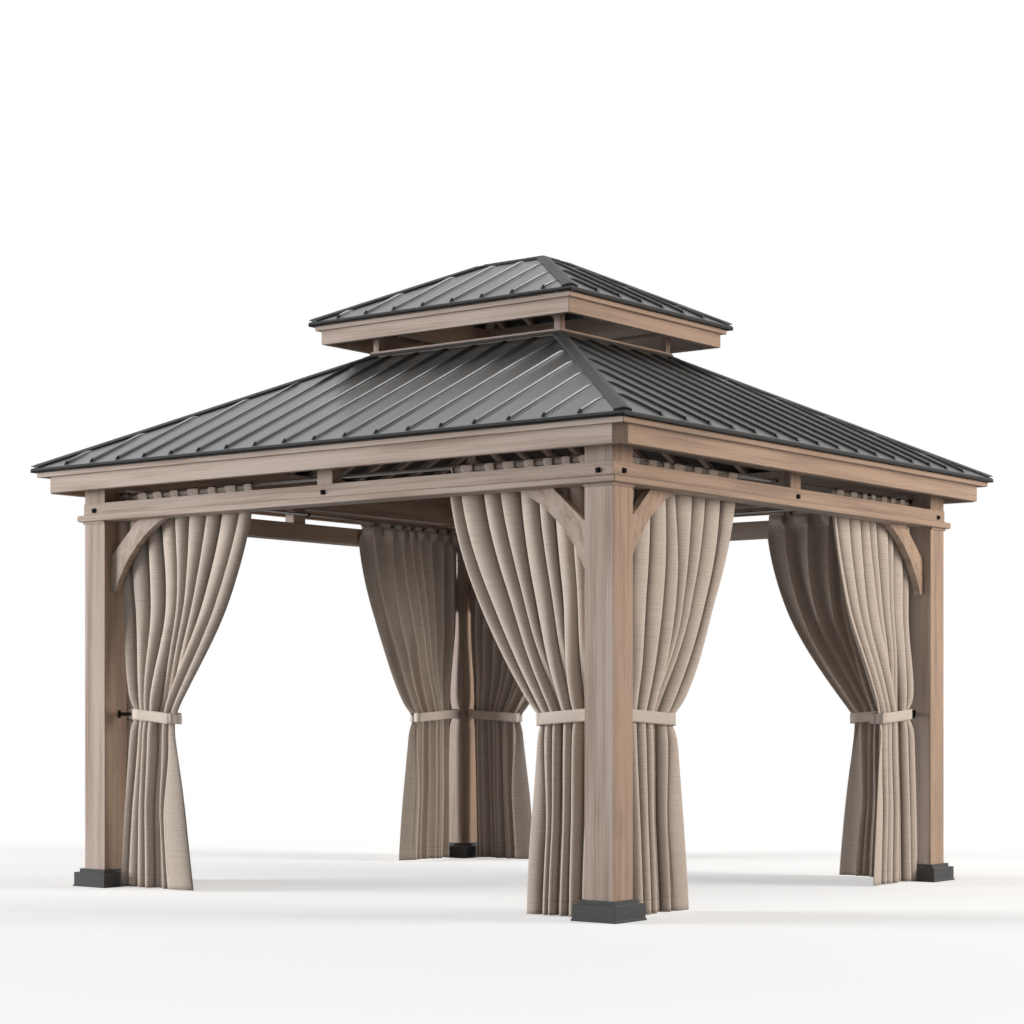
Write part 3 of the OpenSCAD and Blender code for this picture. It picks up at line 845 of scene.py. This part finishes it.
class GAZEBO_OT_roof_sheets(bpy.types.Operator):
    """Fold the sheets of both roofs, with their standing seams and hemmed eaves"""

    bl_idname = "gazebo.roof_sheets"
    bl_label = "Roof Sheets"

    def execute(self, context):
        look = context.scene.gazebo_roof
        for side, name in enumerate(SIDES):
            shape = Shape()
            sheet_side(shape, side, MAIN, look, MAIN_GAP)
            piece = shape.turned(side_turn(side)).piece("sheets_" + name, sheet_metal(), "roof_metal")
            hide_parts("roof_" + name)
        piece = all_sides(sheet_side, CUPOLA, look, CUPOLA_GAP).piece("cupola_sheets", sheet_metal(), "roof_metal")
        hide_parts("cupola_roof")
        shape = Shape()
        for roof, top_gap in ((MAIN, MAIN_GAP), (CUPOLA, CUPOLA_GAP)):
            shape.join(all_sides(seam_ends, roof, look, top_gap))
        shape.piece("seam_ends", black_steel(), "roof_metal")
        # The black strips under the hems are dark pieces standing in for the shadow gap below each hem: painted shade.
        for name, made, low, high in (
            ("eave_hems", cover_metal(), -0.0108, -0.0006), ("eave_drips", black_steel(), -SHEET_T, -0.0116),
        ):
            shape = Shape()
            for roof in (MAIN, CUPOLA):
                shape.join(all_sides(eave_hem, roof, low, high))
            shape.piece(name, made, "roof_metal")
        return {"FINISHED"}


def hip_ring(roof, sx, sy, d, section):
    """Points of a section over a hip that is mitred like the eave: offset along the eave, height above the sheet."""
    return [
        (sx * (roof.half_l - d + min(q, 0)), sy * (roof.half_w - d - max(q, 0)), roof.top(d) + h) for q, h in section
    ]


def hip_section(half, tall, ridge):
    """Section of a hip cover: foot, edge, shoulder and ridge, mirrored over the hip."""
    side = [(-half, 0.0006), (-half, tall - 0.0016), (-half + 0.002, tall), (-half * 0.55, (tall + ridge) / 2)]
    return side + [(0, ridge)] + [(-q, h) for q, h in side[::-1]]


def hip_cover(shape, roof, sx, sy, half, top_d):
    """Folded cover over one hip with turned down edges and an arched hood that closes its lower end."""
    wide = half * math.sqrt(2)
    rings = []
    for d, w, tall, ridge in (
        (0.0012, wide * 1.16, 0.0098, 0.0150), (0.030, wide * 1.12, 0.0112, 0.0168), (0.034, wide, 0.0112, 0.0160),
        (top_d - 0.16, wide, 0.0112, 0.0155), (top_d - 0.10, wide, 0.0112, 0.0150), (top_d, wide, 0.0105, 0.0145),
    ):
        outer = hip_section(w, tall, ridge)
        inner = [(q * 0.97, max(h - 0.0012, 0.0003)) for q, h in outer[::-1]]
        rings.append(hip_ring(roof, sx, sy, d, outer + inner))
    shape.loft(rings)
    face = hip_section(wide * 1.13, 0.0086, 0.0138) + [(0, 0.0004)]
    shape.loft([hip_ring(roof, sx, sy, d, face) for d in (0.0020, 0.0036)])


class GAZEBO_OT_hip_covers(bpy.types.Operator):
    """Fit the folded covers over the hips of both roofs"""

    bl_idname = "gazebo.hip_covers"
    bl_label = "Hip Covers"

    def execute(self, context):
        half = context.scene.gazebo_roof.cover / 2
        shape = Shape()
        for sx, sy in product((-1, 1), repeat=2):
            hip_cover(shape, MAIN, sx, sy, half, MAIN.run)
            hip_cover(shape, CUPOLA, sx, sy, half, CUPOLA.run - RIDGE_GAP)
        piece = shape.piece("hip_covers", cover_metal(), "roof_metal", math.radians(28))
        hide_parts("hip_caps")
        return {"FINISHED"}


class GAZEBO_OT_flashing(bpy.types.Operator):
    """Fit the flashing round the curb and finish the ridge cap"""

    bl_idname = "gazebo.flashing"
    bl_label = "Flashing"

    def execute(self, context):
        run, wide = MAIN.run, context.scene.gazebo_roof.flashing
        outline = (
            (run - wide, 0.0155), (run - wide + 0.001, 0.0168), (run - 0.004, 0.0168), (run - 0.0035, 0.0230),
            (run - 0.0008, 0.0230), (run - 0.0008, 0.0155),
        )
        section = [(d, d * MAIN.slope + h) for d, h in outline]
        all_sides(eave_strip, MAIN, section).piece("curb_flashing", sheet_metal(), "roof_metal")
        finish_node("ridge_cap", cover_metal(), 0.0012)
        return {"FINISHED"}


# ---------------------------------------------------------------- rods and rings


class GAZEBO_OT_rods(bpy.types.Operator):
    """Polish the curtain rods and fit their end sockets and middle hangers"""

    bl_idname = "gazebo.rods"
    bl_label = "Rods"

    def execute(self, context):
        look = context.scene.gazebo_fittings
        polished = coated("polished_steel", look.rod, 0.16, 1.0, clouding=0.05, peel=300.0, wave=0.0)
        for name in ("rods_front_back", "rods_left_right"):
            finish_node(name, polished, 0.0008)
        all_sides(self.sleeves).piece("rod_sockets", black_steel(), "rod_steel")
        return {"FINISHED"}

    def sleeves(self, shape, side):
        """Sockets at both ends of the two rods and a hanger at mid span, by place along the rod and radius."""
        end = half_along(side) - POST_W
        socket = (0.0, 0.0112), (0.003, 0.0116), (0.004, 0.0106), (0.018, 0.0104), (0.0200, 0.0098), (0.0200, 0.0081)
        hanger = (-0.011, 0.0098), (-0.010, 0.0108), (0.010, 0.0108), (0.011, 0.0098)
        for profile in (*([(e * (end - back), r) for back, r in socket] for e in (-1, 1)), hanger):
            for depth in ROD_DEPTHS:
                y = -half_across(side) + depth
                shape.loft([[(x, y + c, ROD_Z + s) for c, s in arc_points(r, 24)] for x, r in profile])


def torus(shape, centre, axis_x, ring_r, wire_r, turns=20, around=8):
    """A round ring whose hole runs along x, turned a little about z by axis_x."""
    rings = []
    for i in range(turns + 1):
        t = 2 * math.pi * i / turns
        ring = []
        for c, s in arc_points(wire_r, around):
            r = ring_r + c
            p = Vector((s, r * math.cos(t), r * math.sin(t)))
            p.rotate(Matrix.Rotation(axis_x, 3, "Z"))
            ring.append(Vector(centre) + p)
        rings.append(ring)
    shape.loft(rings, ends=False)


# ---------------------------------------------------------------- curtains


class Hang:
    """How one curtain hangs: its side and end, where it ends and starts at the band and hem, and its seed.

    Swoop is how fast it opens above the band, edge how much of the last fold is left off, reach how far its
    top runs past its packed box, and top_gap its gap to the post at the top.
    """

    folds = 9

    def __init__(self, name, side, end, wide, gaps, seed, swoop=1.7, edge=0.38, reach=0.0, top_gap=0.010):
        self.name, self.side, self.end, self.seed = name, side, end, seed
        self.swoop, self.edge, self.reach, self.top_gap = swoop, edge, reach, top_gap
        # The curtains on the right-hand side get the stronger painted fold shade and light.
        self.shade = PAINTED_SIDE_FOLD_SHADE if side == 1 else PAINTED_FOLD_SHADE
        self.tie_gap, self.hem_gap = gaps
        self.tie_width, self.hem_width = wide
        low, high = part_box("curtain_" + name)
        along = (low.y, high.y) if side % 2 else (low.x, high.x)
        self.top_width = along[1] - along[0]
        self.low_z = low.z
        self.lean = end * (1, -1, 1, -1)[side]

    def matrix(self):
        """From the curtain's own space: x from the post face, y inwards from the posts' outer face."""
        flip = Matrix.Diagonal((-1 if self.end > 0 else 1, 1, 1, 1))
        move = Matrix.Translation((-half_along(self.side) + POST_W, -half_across(self.side), 0))
        return side_turn(self.side) @ flip @ move


HANGS = [
    Hang("front_left", 0, -1, (0.450, 0.617), (0.147, 0.066), 11, swoop=1.62, edge=0.10),
    Hang("front_right", 0, 1, (0.330, 0.389), (0.016, 0.052), 23, swoop=1.65, reach=0.020),
    Hang("right_front", 1, -1, (0.462, 0.560), (0.016, 0.052), 37),
    Hang("right_back", 1, 1, (0.438, 0.565), (0.096, 0.036), 41, top_gap=0.060),
    Hang("back_right", 2, -1, (0.364, 0.478), (0.030, 0.052), 53, swoop=1.9, edge=0.12, reach=0.045),
    Hang("back_left", 2, 1, (0.417, 0.502), (0.030, 0.052), 67),
    Hang("left_back", 3, -1, (0.434, 0.522), (0.036, 0.052), 79),
    Hang("left_front", 3, 1, (0.426, 0.512), (0.036, 0.052), 83),
]
FRONT_LOW, FRONT_HIGH = 0.0625, 0.0960  # outer face of the cloth below and above, from the posts' outer face
BACK = 0.1500  # its inner face
HEAD_Z = 2.150  # top of the cloth
PLEATS = 0.9  # heading pleats to each fold
BAND_SLOPE = 0.026  # how far a tie band falls from the post to its free end
BAND_DEEP = 0.0455  # half its loop's depth
BAND_POWER = 2 / 7.0  # how square its loop is: 1 is an ellipse, 0 a box
BAND_T = 0.0028  # its thickness
FOLD_START = 0.30  # where in the first fold the cloth begins


def soften(values, reach):
    """Averages each value with its neighbours."""
    kernel = np.hanning(2 * reach + 3)[1:-1]
    return np.convolve(np.pad(values, reach, mode="edge"), kernel / kernel.sum(), "valid")


def along_folds(values, at, reach=6):
    """One value for each fold, joined smoothly."""
    return soften(np.interp(at, np.arange(len(values)) + 0.5, values), reach)


def shares(weights, at):
    """Share of the width at each place when the folds take up the width by these weights."""
    marks = np.concatenate([[0], np.cumsum(weights)])
    line = soften(np.interp(at, np.arange(len(marks)), marks), 6)
    return (line - line[0]) / (line[-1] - line[0])


def row_heights(low, rows):
    """Heights of a curtain's rows from hem to heading, closer together round the band and at the top."""
    stops = [low, 0.14, TIE_Z - 0.16, TIE_Z - 0.03, TIE_Z + 0.03, TIE_Z + 0.16, 1.45, 2.04, 2.10, HEAD_Z]
    parts = [0.06, 0.22, 0.11, 0.04, 0.12, 0.15, 0.18, 0.04, 0.12]
    spans = zip(stops, stops[1:], parts)
    return np.concatenate([
        *(np.linspace(a, b, max(3, int(rows * p)), endpoint=False) for a, b, p in spans), [HEAD_Z]
    ])


def curtain_grid(hang, per_fold=22, rows=90):
    """Points of a gathered curtain as rows by columns, in the curtain's own space: leaning folds, narrow valleys."""
    rng = random.Random(hang.seed)
    n = hang.folds
    at = np.linspace(FOLD_START, n - hang.edge, int((n - FOLD_START - hang.edge) * per_fold) + 1)
    s = (at - at[0]) / (at[-1] - at[0])
    small = set(rng.sample(range(1, n - 2), n // 3))

    def drawn(low, high, few=None):
        """A random value for each fold; the small folds can have other bounds."""
        return np.array([rng.uniform(*(few if few and k in small else (low, high))) for k in range(n)])

    top_w = drawn(0.62, 1.38) * (0.80 + 0.4 * (np.arange(n) / (n - 1)))
    mid_w = drawn(0.9, 1.5, (0.55, 0.75))
    tie_w = drawn(0.9, 1.4, (0.34, 0.46))
    low_w = drawn(0.8, 1.4, (0.34, 0.50))
    low_w[-1], low_w[-2] = 3.3, 0.7
    share_top, share_mid, share_tie, share_low = (shares(w, at) for w in (top_w, mid_w, tie_w, low_w))
    local = at - np.floor(at) - 0.5
    limit = math.radians(88)  # steepest the cloth turns in a fold
    angle = local * 2 * limit
    bell = soften((1 - np.cos(angle)) / (1 - math.cos(limit)), 1)
    round_off = soften(0.5 * np.sin(angle) / math.sin(limit) - local, 1)
    strong = along_folds(drawn(0.80, 1.0), at)
    back_top = along_folds(drawn(0.0, 0.45), at)
    back_low = along_folds([0.75 if k in small else rng.uniform(0.0, 0.25) for k in range(n)], at)
    flat_low = along_folds([1.0] * (n - 1) + [0.42], at)
    skew = hang.lean * along_folds(drawn(-0.04, 0.18), at)
    skew_low = hang.lean * along_folds(drawn(-0.06, 0.22), at)
    drift = [along_folds(drawn(-1, 1), at) for _ in range(2)]
    low = hang.low_z + 0.002
    z = row_heights(low, rows)
    grid, crest = np.zeros((len(z), len(at), 3)), np.zeros((len(z), len(at)))
    for j, zj in enumerate(z):
        sloped = zj - (BAND_SLOPE / 2 - BAND_SLOPE * s)
        t = np.clip((sloped - TIE_Z) / (HEAD_Z - TIE_Z), 0, 1)
        drop = np.clip((TIE_Z - sloped) / (TIE_Z - low), 0, 1)
        near = np.exp(-(((sloped - TIE_Z) / 0.060) ** 2))
        head = smoothstep(2.02, 2.10, zj)
        up = smoothstep(0.0, 0.5, t)
        open_up = 1 - np.power(1 - t, hang.swoop)
        open_down = 1 - np.power(1 - drop, 1.25)
        share = share_tie + (share_mid - share_tie) * smoothstep(0, 0.45, t)
        share = share + (share_top - share_mid) * smoothstep(0.35, 1, t)
        share = share + (share_low - share_tie) * smoothstep(0.0, 0.60, drop)
        gap, tied = hang.tie_gap, hang.tie_width
        start = gap + (hang.top_gap - gap) * open_up + (hang.hem_gap - gap) * open_down
        end = tied + (hang.top_width + hang.reach - tied) * open_up + (hang.hem_width - tied) * open_down
        start, end = start + 0.004 * near, end - 0.006 - 0.002 * near
        u = start + share * (end - start)
        gather = np.gradient(u) / np.gradient(at)
        u = u + gather * 0.12 * (drift[0] * np.sin(2.2 * zj) + drift[1] * np.sin(4.1 * zj + 1)) * (1 - near)
        high = smoothstep(1.10, 1.56, zj)
        front = FRONT_LOW + (FRONT_HIGH - FRONT_LOW) * high + 0.0055 * near
        back = BACK - 0.0045 * near - 0.037 * smoothstep(2.112, 2.136, zj)
        room = back - front
        wide = soften(gather, 10)
        deep = np.minimum(0.66 * wide, room) * strong * (1 + (flat_low - 1) * smoothstep(0.0, 0.25, drop))
        y = front + (room - deep) * (back_low + (back_top - back_low) * up) + deep * bell
        centre = (front + back) / 2
        y = centre + (y - centre) * (1 - 0.62 * near * np.power(np.abs(2 * s - 1), 4))
        pleat = np.cos(2 * math.pi * at * PLEATS + hang.seed)
        y = y + (centre + pleat * room * 0.30 - y) * head
        slant = skew_low + (skew - skew_low) * up
        x = u + (wide * round_off + slant * wide * (1 - bell)) * (1 - head)
        x = x + 0.10 * gather * np.sin(4 * math.pi * at * PLEATS + 2 * hang.seed) * head
        x = np.maximum(x, 0.004 + 0.047 * smoothstep(0.18, 0.11, zj))
        grid[j] = np.stack([x, y, np.full_like(x, zj) - 0.0035 * (1 + pleat) * head], axis=1)
        # The crest drives the cloth's painted fold shade; in the heading it follows the pleats, darker between them.
        crest[j] = (1 - bell) + (0.62 - 0.22 * pleat - (1 - bell)) * head
    return grid, crest


def sheet_piece(name, grid, crest, material, width, thickness):
    """A sheet of cloth from a grid of points, with maps of the flat cloth and of its crests, and real thickness."""
    rows, columns = grid.shape[:2]
    faces = [
        (j * columns + i, j * columns + i + 1, (j + 1) * columns + i + 1, (j + 1) * columns + i)
        for j in range(rows - 1) for i in range(columns - 1)
    ]
    mesh = new_mesh(name, grid.reshape(-1, 3), faces)
    mesh.polygons.foreach_set("use_smooth", [True] * len(faces))
    rise = np.concatenate([[0], np.cumsum(np.linalg.norm(np.diff(grid.mean(1), axis=0), axis=1))])
    across = np.linspace(0, width, columns)
    layer = mesh.uv_layers.new(name="cloth")
    where = np.array([(across[i % columns], rise[i // columns]) for i in range(rows * columns)])
    loops = np.zeros(len(mesh.loops), np.int32)
    mesh.loops.foreach_get("vertex_index", loops)
    layer.uv.foreach_set("vector", where[loops].astype(np.float32).ravel())
    layer = mesh.uv_layers.new(name="crest")
    fold = np.stack([crest.ravel(), np.zeros(crest.size)], axis=1)
    layer.uv.foreach_set("vector", fold[loops].astype(np.float32).ravel())
    mesh.materials.append(material)
    obj = place(name, mesh)
    thick = obj.modifiers.new("Thickness", "SOLIDIFY")
    thick.thickness = thickness
    thick.offset = 0
    return obj


def cloth_width(grid):
    """Mean length of the sheet's rows, which is the width the cloth was cut to."""
    return float(np.linalg.norm(np.diff(grid, axis=1), axis=2).sum(1).mean())


def moved(grid, matrix):
    flat = grid.reshape(-1, 3)
    turned = flat @ np.array(matrix.to_3x3()).T + np.array(matrix.translation)
    return turned.reshape(grid.shape)


class GAZEBO_OT_curtains(bpy.types.Operator):
    """Hang the eight gathered linen curtains"""

    bl_idname = "gazebo.curtains"
    bl_label = "Curtains"

    def execute(self, context):
        look = context.scene.gazebo_curtains
        rings = Shape()
        for hang in HANGS:
            grid, crest = curtain_grid(hang)
            width = round(cloth_width(grid), 2)
            tall = HEAD_Z - hang.low_z
            out = side_turn(hang.side) @ Vector((0, -1, 0))
            material = linen("linen_" + hang.name, look.linen, look.slub, width, tall, out, hang.shade)
            placed = moved(grid, hang.matrix())
            if hang.end > 0:
                placed, crest = placed[:, ::-1], crest[:, ::-1]
            piece = sheet_piece("curtain_cloth_" + hang.name, placed, crest, material, width, look.thickness)
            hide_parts("curtain_" + hang.name)
            self.hook(rings, hang, grid, context.scene.gazebo_fittings)
        rings.piece("curtain_rings", black_steel(), "rod_steel")
        return {"FINISHED"}

    def hook(self, shape, hang, grid, look):
        """Rings on the outer rod over the pleats, each with a clip behind the heading."""
        rng = random.Random(hang.seed + 500)
        part = Shape()
        head = grid[-1]
        depth = head[:, 1]
        places = [k for k in range(2, len(head) - 2) if depth[k] <= depth[k - 1] and depth[k] < depth[k + 1]]
        for k in places:
            x, y = head[k, 0], ROD_DEPTHS[0]
            tilt = rng.uniform(-0.6, 0.6)
            centre = Vector((x, y, ROD_Z + ROD_R + 0.0018 - look.ring))
            torus(part, centre, tilt, look.ring, 0.0017)
            hang_at = centre - Vector((0, 0, look.ring))
            back = Vector((x, depth[k] + 0.0035, HEAD_Z - 0.016))
            rings = []
            for p, w, d in (
                (back - Vector((0, 0, 0.010)), 0.0060, 0.0016), (back + Vector((0, 0, 0.008)), 0.0070, 0.0018),
                (hang_at + Vector((0, -0.004, 0.001)), 0.0030, 0.0016),
                (hang_at + Vector((0, 0, 0.003)), 0.0022, 0.0014),
            ):
                rings.append([p + Vector((a * w, b * d, 0)) for a, b in CORNERS])
            part.loft(rings)
        shape.join(part.turned(hang.matrix()))


def band_grid(start, end, height, mid, seed, columns=72, rows=7):
    """Band round a bundle: a rounded loop that slopes down away from the post, a little loose and creased."""
    rng = random.Random(seed)
    turn = [rng.uniform(0, 6.28) for _ in range(4)]
    centre, half = (start + end) / 2, (end - start) / 2
    grid = np.zeros((rows, columns + 1, 3))
    for i in range(columns + 1):
        a = 2 * math.pi * i / columns
        c, n = math.cos(a), math.sin(a)
        x = centre + half * math.copysign(abs(c) ** BAND_POWER, c)
        y = mid + BAND_DEEP * math.copysign(abs(n) ** BAND_POWER, n)
        y += 0.0012 * math.sin(9 * a + turn[0]) + 0.0008 * math.sin(17 * a + turn[1])
        drop = BAND_SLOPE * (0.5 - (x - start) / max(end - start, 1e-6))
        for j in range(rows):
            v = j / (rows - 1) - 0.5
            belly = 0.0012 * (1 - 4 * v * v)
            grid[j, i] = (
                x + belly * c, y + belly * n + 0.0006 * math.sin(5 * a + 6 * v + turn[2]),
                TIE_Z + drop + v * height + 0.0012 * math.sin(4 * a + turn[3]),
            )
    return grid


class GAZEBO_OT_tie_bands(bpy.types.Operator):
    """Wrap the tie bands round the curtains and hold them to the posts with dark brackets"""

    bl_idname = "gazebo.tie_bands"
    bl_label = "Tie Bands"

    def execute(self, context):
        look = context.scene.gazebo_curtains
        brackets = Shape()
        mid = (FRONT_LOW + BACK) / 2
        for hang in HANGS:
            start, end = hang.tie_gap - 0.006, hang.tie_width + 0.003
            grid = band_grid(start, end, look.band_height, mid, hang.seed)
            around = round(cloth_width(grid), 2)
            name = "tie_band_" + hang.name
            material = linen("linen_" + name, look.band, look.linen, around, look.band_height)
            placed = moved(grid, hang.matrix())
            if hang.end > 0:
                placed = placed[:, ::-1]
            piece = sheet_piece(name, placed, np.full(grid.shape[:2], 0.75), material, around, BAND_T)
            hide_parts("tie_backs")
            part = Shape()
            z = TIE_Z + 0.012  # the brackets sit a little above the middle of the bands
            for x0, x1, y, h, ease in (
                (0.0002, 0.0030, 0.010, 0.022, 0.0012), (0.0026, hang.tie_gap - 0.001, 0.003, 0.010, 0.0010)
            ):
                part.loft(box_rings((x0, mid - y, z - h), (x1, mid + y, z + h), ease))
            for dz in (-0.016, 0.016):
                rings = []
                for out, r in ((0.0028, 0.0034), (0.0042, 0.0032), (0.0050, 0.0020)):
                    rings.append([(out, mid + c, z + dz + n) for c, n in arc_points(r, 12)])
                part.loft(rings)
            brackets.join(part.turned(hang.matrix()))
        brackets.piece("tie_brackets", black_steel(), "rod_steel")
        return {"FINISHED"}


# ---------------------------------------------------------------- stage


WARM = (1.0, 0.95, 0.89)  # tint of the lamps at the right
LOW_SHARE = 0.13  # share of the low lamps' power that the one at the right has
CAMERA_AT = (7.6118, -9.9815, 0.9570)
CAMERA_TURN = math.radians(37.58)  # about z, from looking along y
CAMERA_SHIFT = 0.1954  # upwards, in widths of the view


def lamp(name, watts, spot, height, size, tint=(1, 1, 1)):
    """A large lamp that looks at the middle of the gazebo at some height."""
    data = bpy.data.lights.new(name, "AREA")
    data.shape = "RECTANGLE"
    data.size, data.size_y = size
    data.energy = watts
    data.color = tint
    obj = add_object(name, data)
    obj.location = spot
    obj.rotation_euler = (Vector((0, 0, height)) - Vector(spot)).to_track_quat("-Z", "Y").to_euler()
    obj.visible_glossy = obj.visible_camera = False


class GAZEBO_OT_stage(bpy.types.Operator):
    """Set the pale floor, white backdrop, soft lamps and camera"""

    bl_idname = "gazebo.stage"
    bl_label = "Stage"

    def execute(self, context):
        scene, look = context.scene, context.scene.gazebo_stage
        self.floor()
        self.world(scene, look)
        lamp("lamp_key", look.key, (-17.0, -13.0, 7.2), 1.2, (9.5, 8))
        lamp("lamp_side", look.side, (12.0, 6.0, 5.0), 1.2, (6, 5), WARM)
        lamp("lamp_low_left", look.low, (-15.5, -12.2, 2.2), 1.3, (8, 3.2))
        lamp("lamp_low_right", look.low * LOW_SHARE, (12.0, 6.0, 1.9), 1.3, (6, 2.4), WARM)
        camera = bpy.data.cameras.new("camera")
        camera.lens = look.focal
        camera.sensor_width = 36.0
        camera.shift_y = CAMERA_SHIFT
        camera.clip_start, camera.clip_end = 0.1, 200.0
        obj = add_object("camera", camera)
        obj.location = CAMERA_AT
        obj.rotation_euler = (math.radians(90), 0, CAMERA_TURN)
        scene.camera = obj
        scene.view_settings.view_transform = "Standard"
        return {"FINISHED"}

    def floor(self):
        shape = Shape()
        count = 96
        rings = [[(r * c, r * n, 0) for c, n in arc_points(1.0, count)] for r in (0.01, 3, 6, 12, 30, 80)]
        shape.loft(rings, ends=False)
        shape.add(rings[0], [list(range(count))])
        mesh = new_mesh("floor", shape.points, shape.faces)
        obj = add_object("floor", mesh)
        made, tree, shader, where = new_material("pale_floor")
        mesh.materials.append(made)
        seen = add_node(tree, "LightPath").outputs["Is Camera Ray"]
        tone = choose(tree, seen, 0.42, ramp(tree, noise(tree, where, 1.7), 0.2, 0.8, 1.30, 1.32))
        pale = add_node(tree, "CombineColor", {0: tone, 1: tone, 2: tone}).outputs[0]
        tree.nodes.remove(shader)
        matt = add_node(tree, "BsdfDiffuse", {"Color": pale, "Roughness": 0.5}).outputs[0]
        far = add_node(tree, "VectorMath", {0: where}, operation="LENGTH").outputs["Value"]
        fade = maths(tree, "MULTIPLY", ramp(tree, far, 2.0, 9.0, 0.42, 1.0), seen)
        white = add_node(tree, "Emission", {"Color": (1, 1, 1, 1), "Strength": 1.0}).outputs[0]
        mix = add_node(tree, "MixShader", {0: fade, 1: matt, 2: white}).outputs[0]
        out = next(n for n in tree.nodes if n.type == "OUTPUT_MATERIAL")
        tree.links.new(mix, out.inputs["Surface"])

    def world(self, scene, look):
        world = bpy.data.worlds.new("studio")
        scene.world = world
        world.use_nodes = True
        tree = world.node_tree
        tree.nodes.clear()
        path = add_node(tree, "LightPath").outputs
        way = add_node(tree, "TexCoord").outputs["Generated"]
        add, _, times = sums(tree)
        # What steel mirrors: a wall that brightens up and back, dimmer at the right, and a small bright window.
        behind, dimmer, window = (
            ramp(tree, dot(tree, way, axis), *reach)
            for axis, *reach in (
                ((-0.20, 0.80, 0.566), 0.0, 0.75, 0.03, 1.0), ((-0.46, -0.71, 0.53), -0.25, 0.25, 0.60, 1.00),
                ((0.33, 0.50, 0.80), 0.90, 0.985, 0.0, 3.8),
            )
        )
        shine = add(times(behind, dimmer), window)
        level = choose(tree, path["Is Glossy Ray"], look.ambient, shine)
        level = choose(tree, maths(tree, "MAXIMUM", path["Is Camera Ray"], path["Is Transmission Ray"]), level, 1.0)
        shader = add_node(tree, "Background", {"Color": (1, 1, 1, 1), "Strength": level})
        out = tree.nodes.new("ShaderNodeOutputWorld")
        tree.links.new(shader.outputs[0], out.inputs["Surface"])


# ---------------------------------------------------------------- add-on


STEPS = (
    GAZEBO_OT_timber,
    GAZEBO_OT_bases,
    GAZEBO_OT_collars,
    GAZEBO_OT_bolts,
    GAZEBO_OT_roof_sheets,
    GAZEBO_OT_hip_covers,
    GAZEBO_OT_flashing,
    GAZEBO_OT_rods,
    GAZEBO_OT_curtains,
    GAZEBO_OT_tie_bands,
    GAZEBO_OT_stage,
)


class GAZEBO_PT_panel(bpy.types.Panel):
    """Lists the steps that build the gazebo"""

    bl_idname = "GAZEBO_PT_panel"
    bl_label = "Hardtop Gazebo"
    bl_space_type = "VIEW_3D"
    bl_region_type = "UI"
    bl_category = "Gazebo"

    def draw(self, context):
        for step in STEPS:
            self.layout.operator(step.bl_idname)
        for name, group in SETTINGS.items():
            box = self.layout.box()
            box.label(text=group.__doc__)
            for key in group.__annotations__:
                box.prop(getattr(context.scene, name), key)


CLASSES = (*SETTINGS.values(), *STEPS, GAZEBO_PT_panel)


def register():
    for cls in CLASSES:
        bpy.utils.register_class(cls)
    for name, group in SETTINGS.items():
        setattr(bpy.types.Scene, name, bpy.props.PointerProperty(type=group))


def unregister():
    for name in SETTINGS:
        delattr(bpy.types.Scene, name)
    for cls in reversed(CLASSES):
        bpy.utils.unregister_class(cls)


def main():
    register()
    for step in STEPS:
        group, action = step.bl_idname.split(".")
        getattr(getattr(bpy.ops, group), action)()
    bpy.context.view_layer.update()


if __name__ == "__main__":
    main()
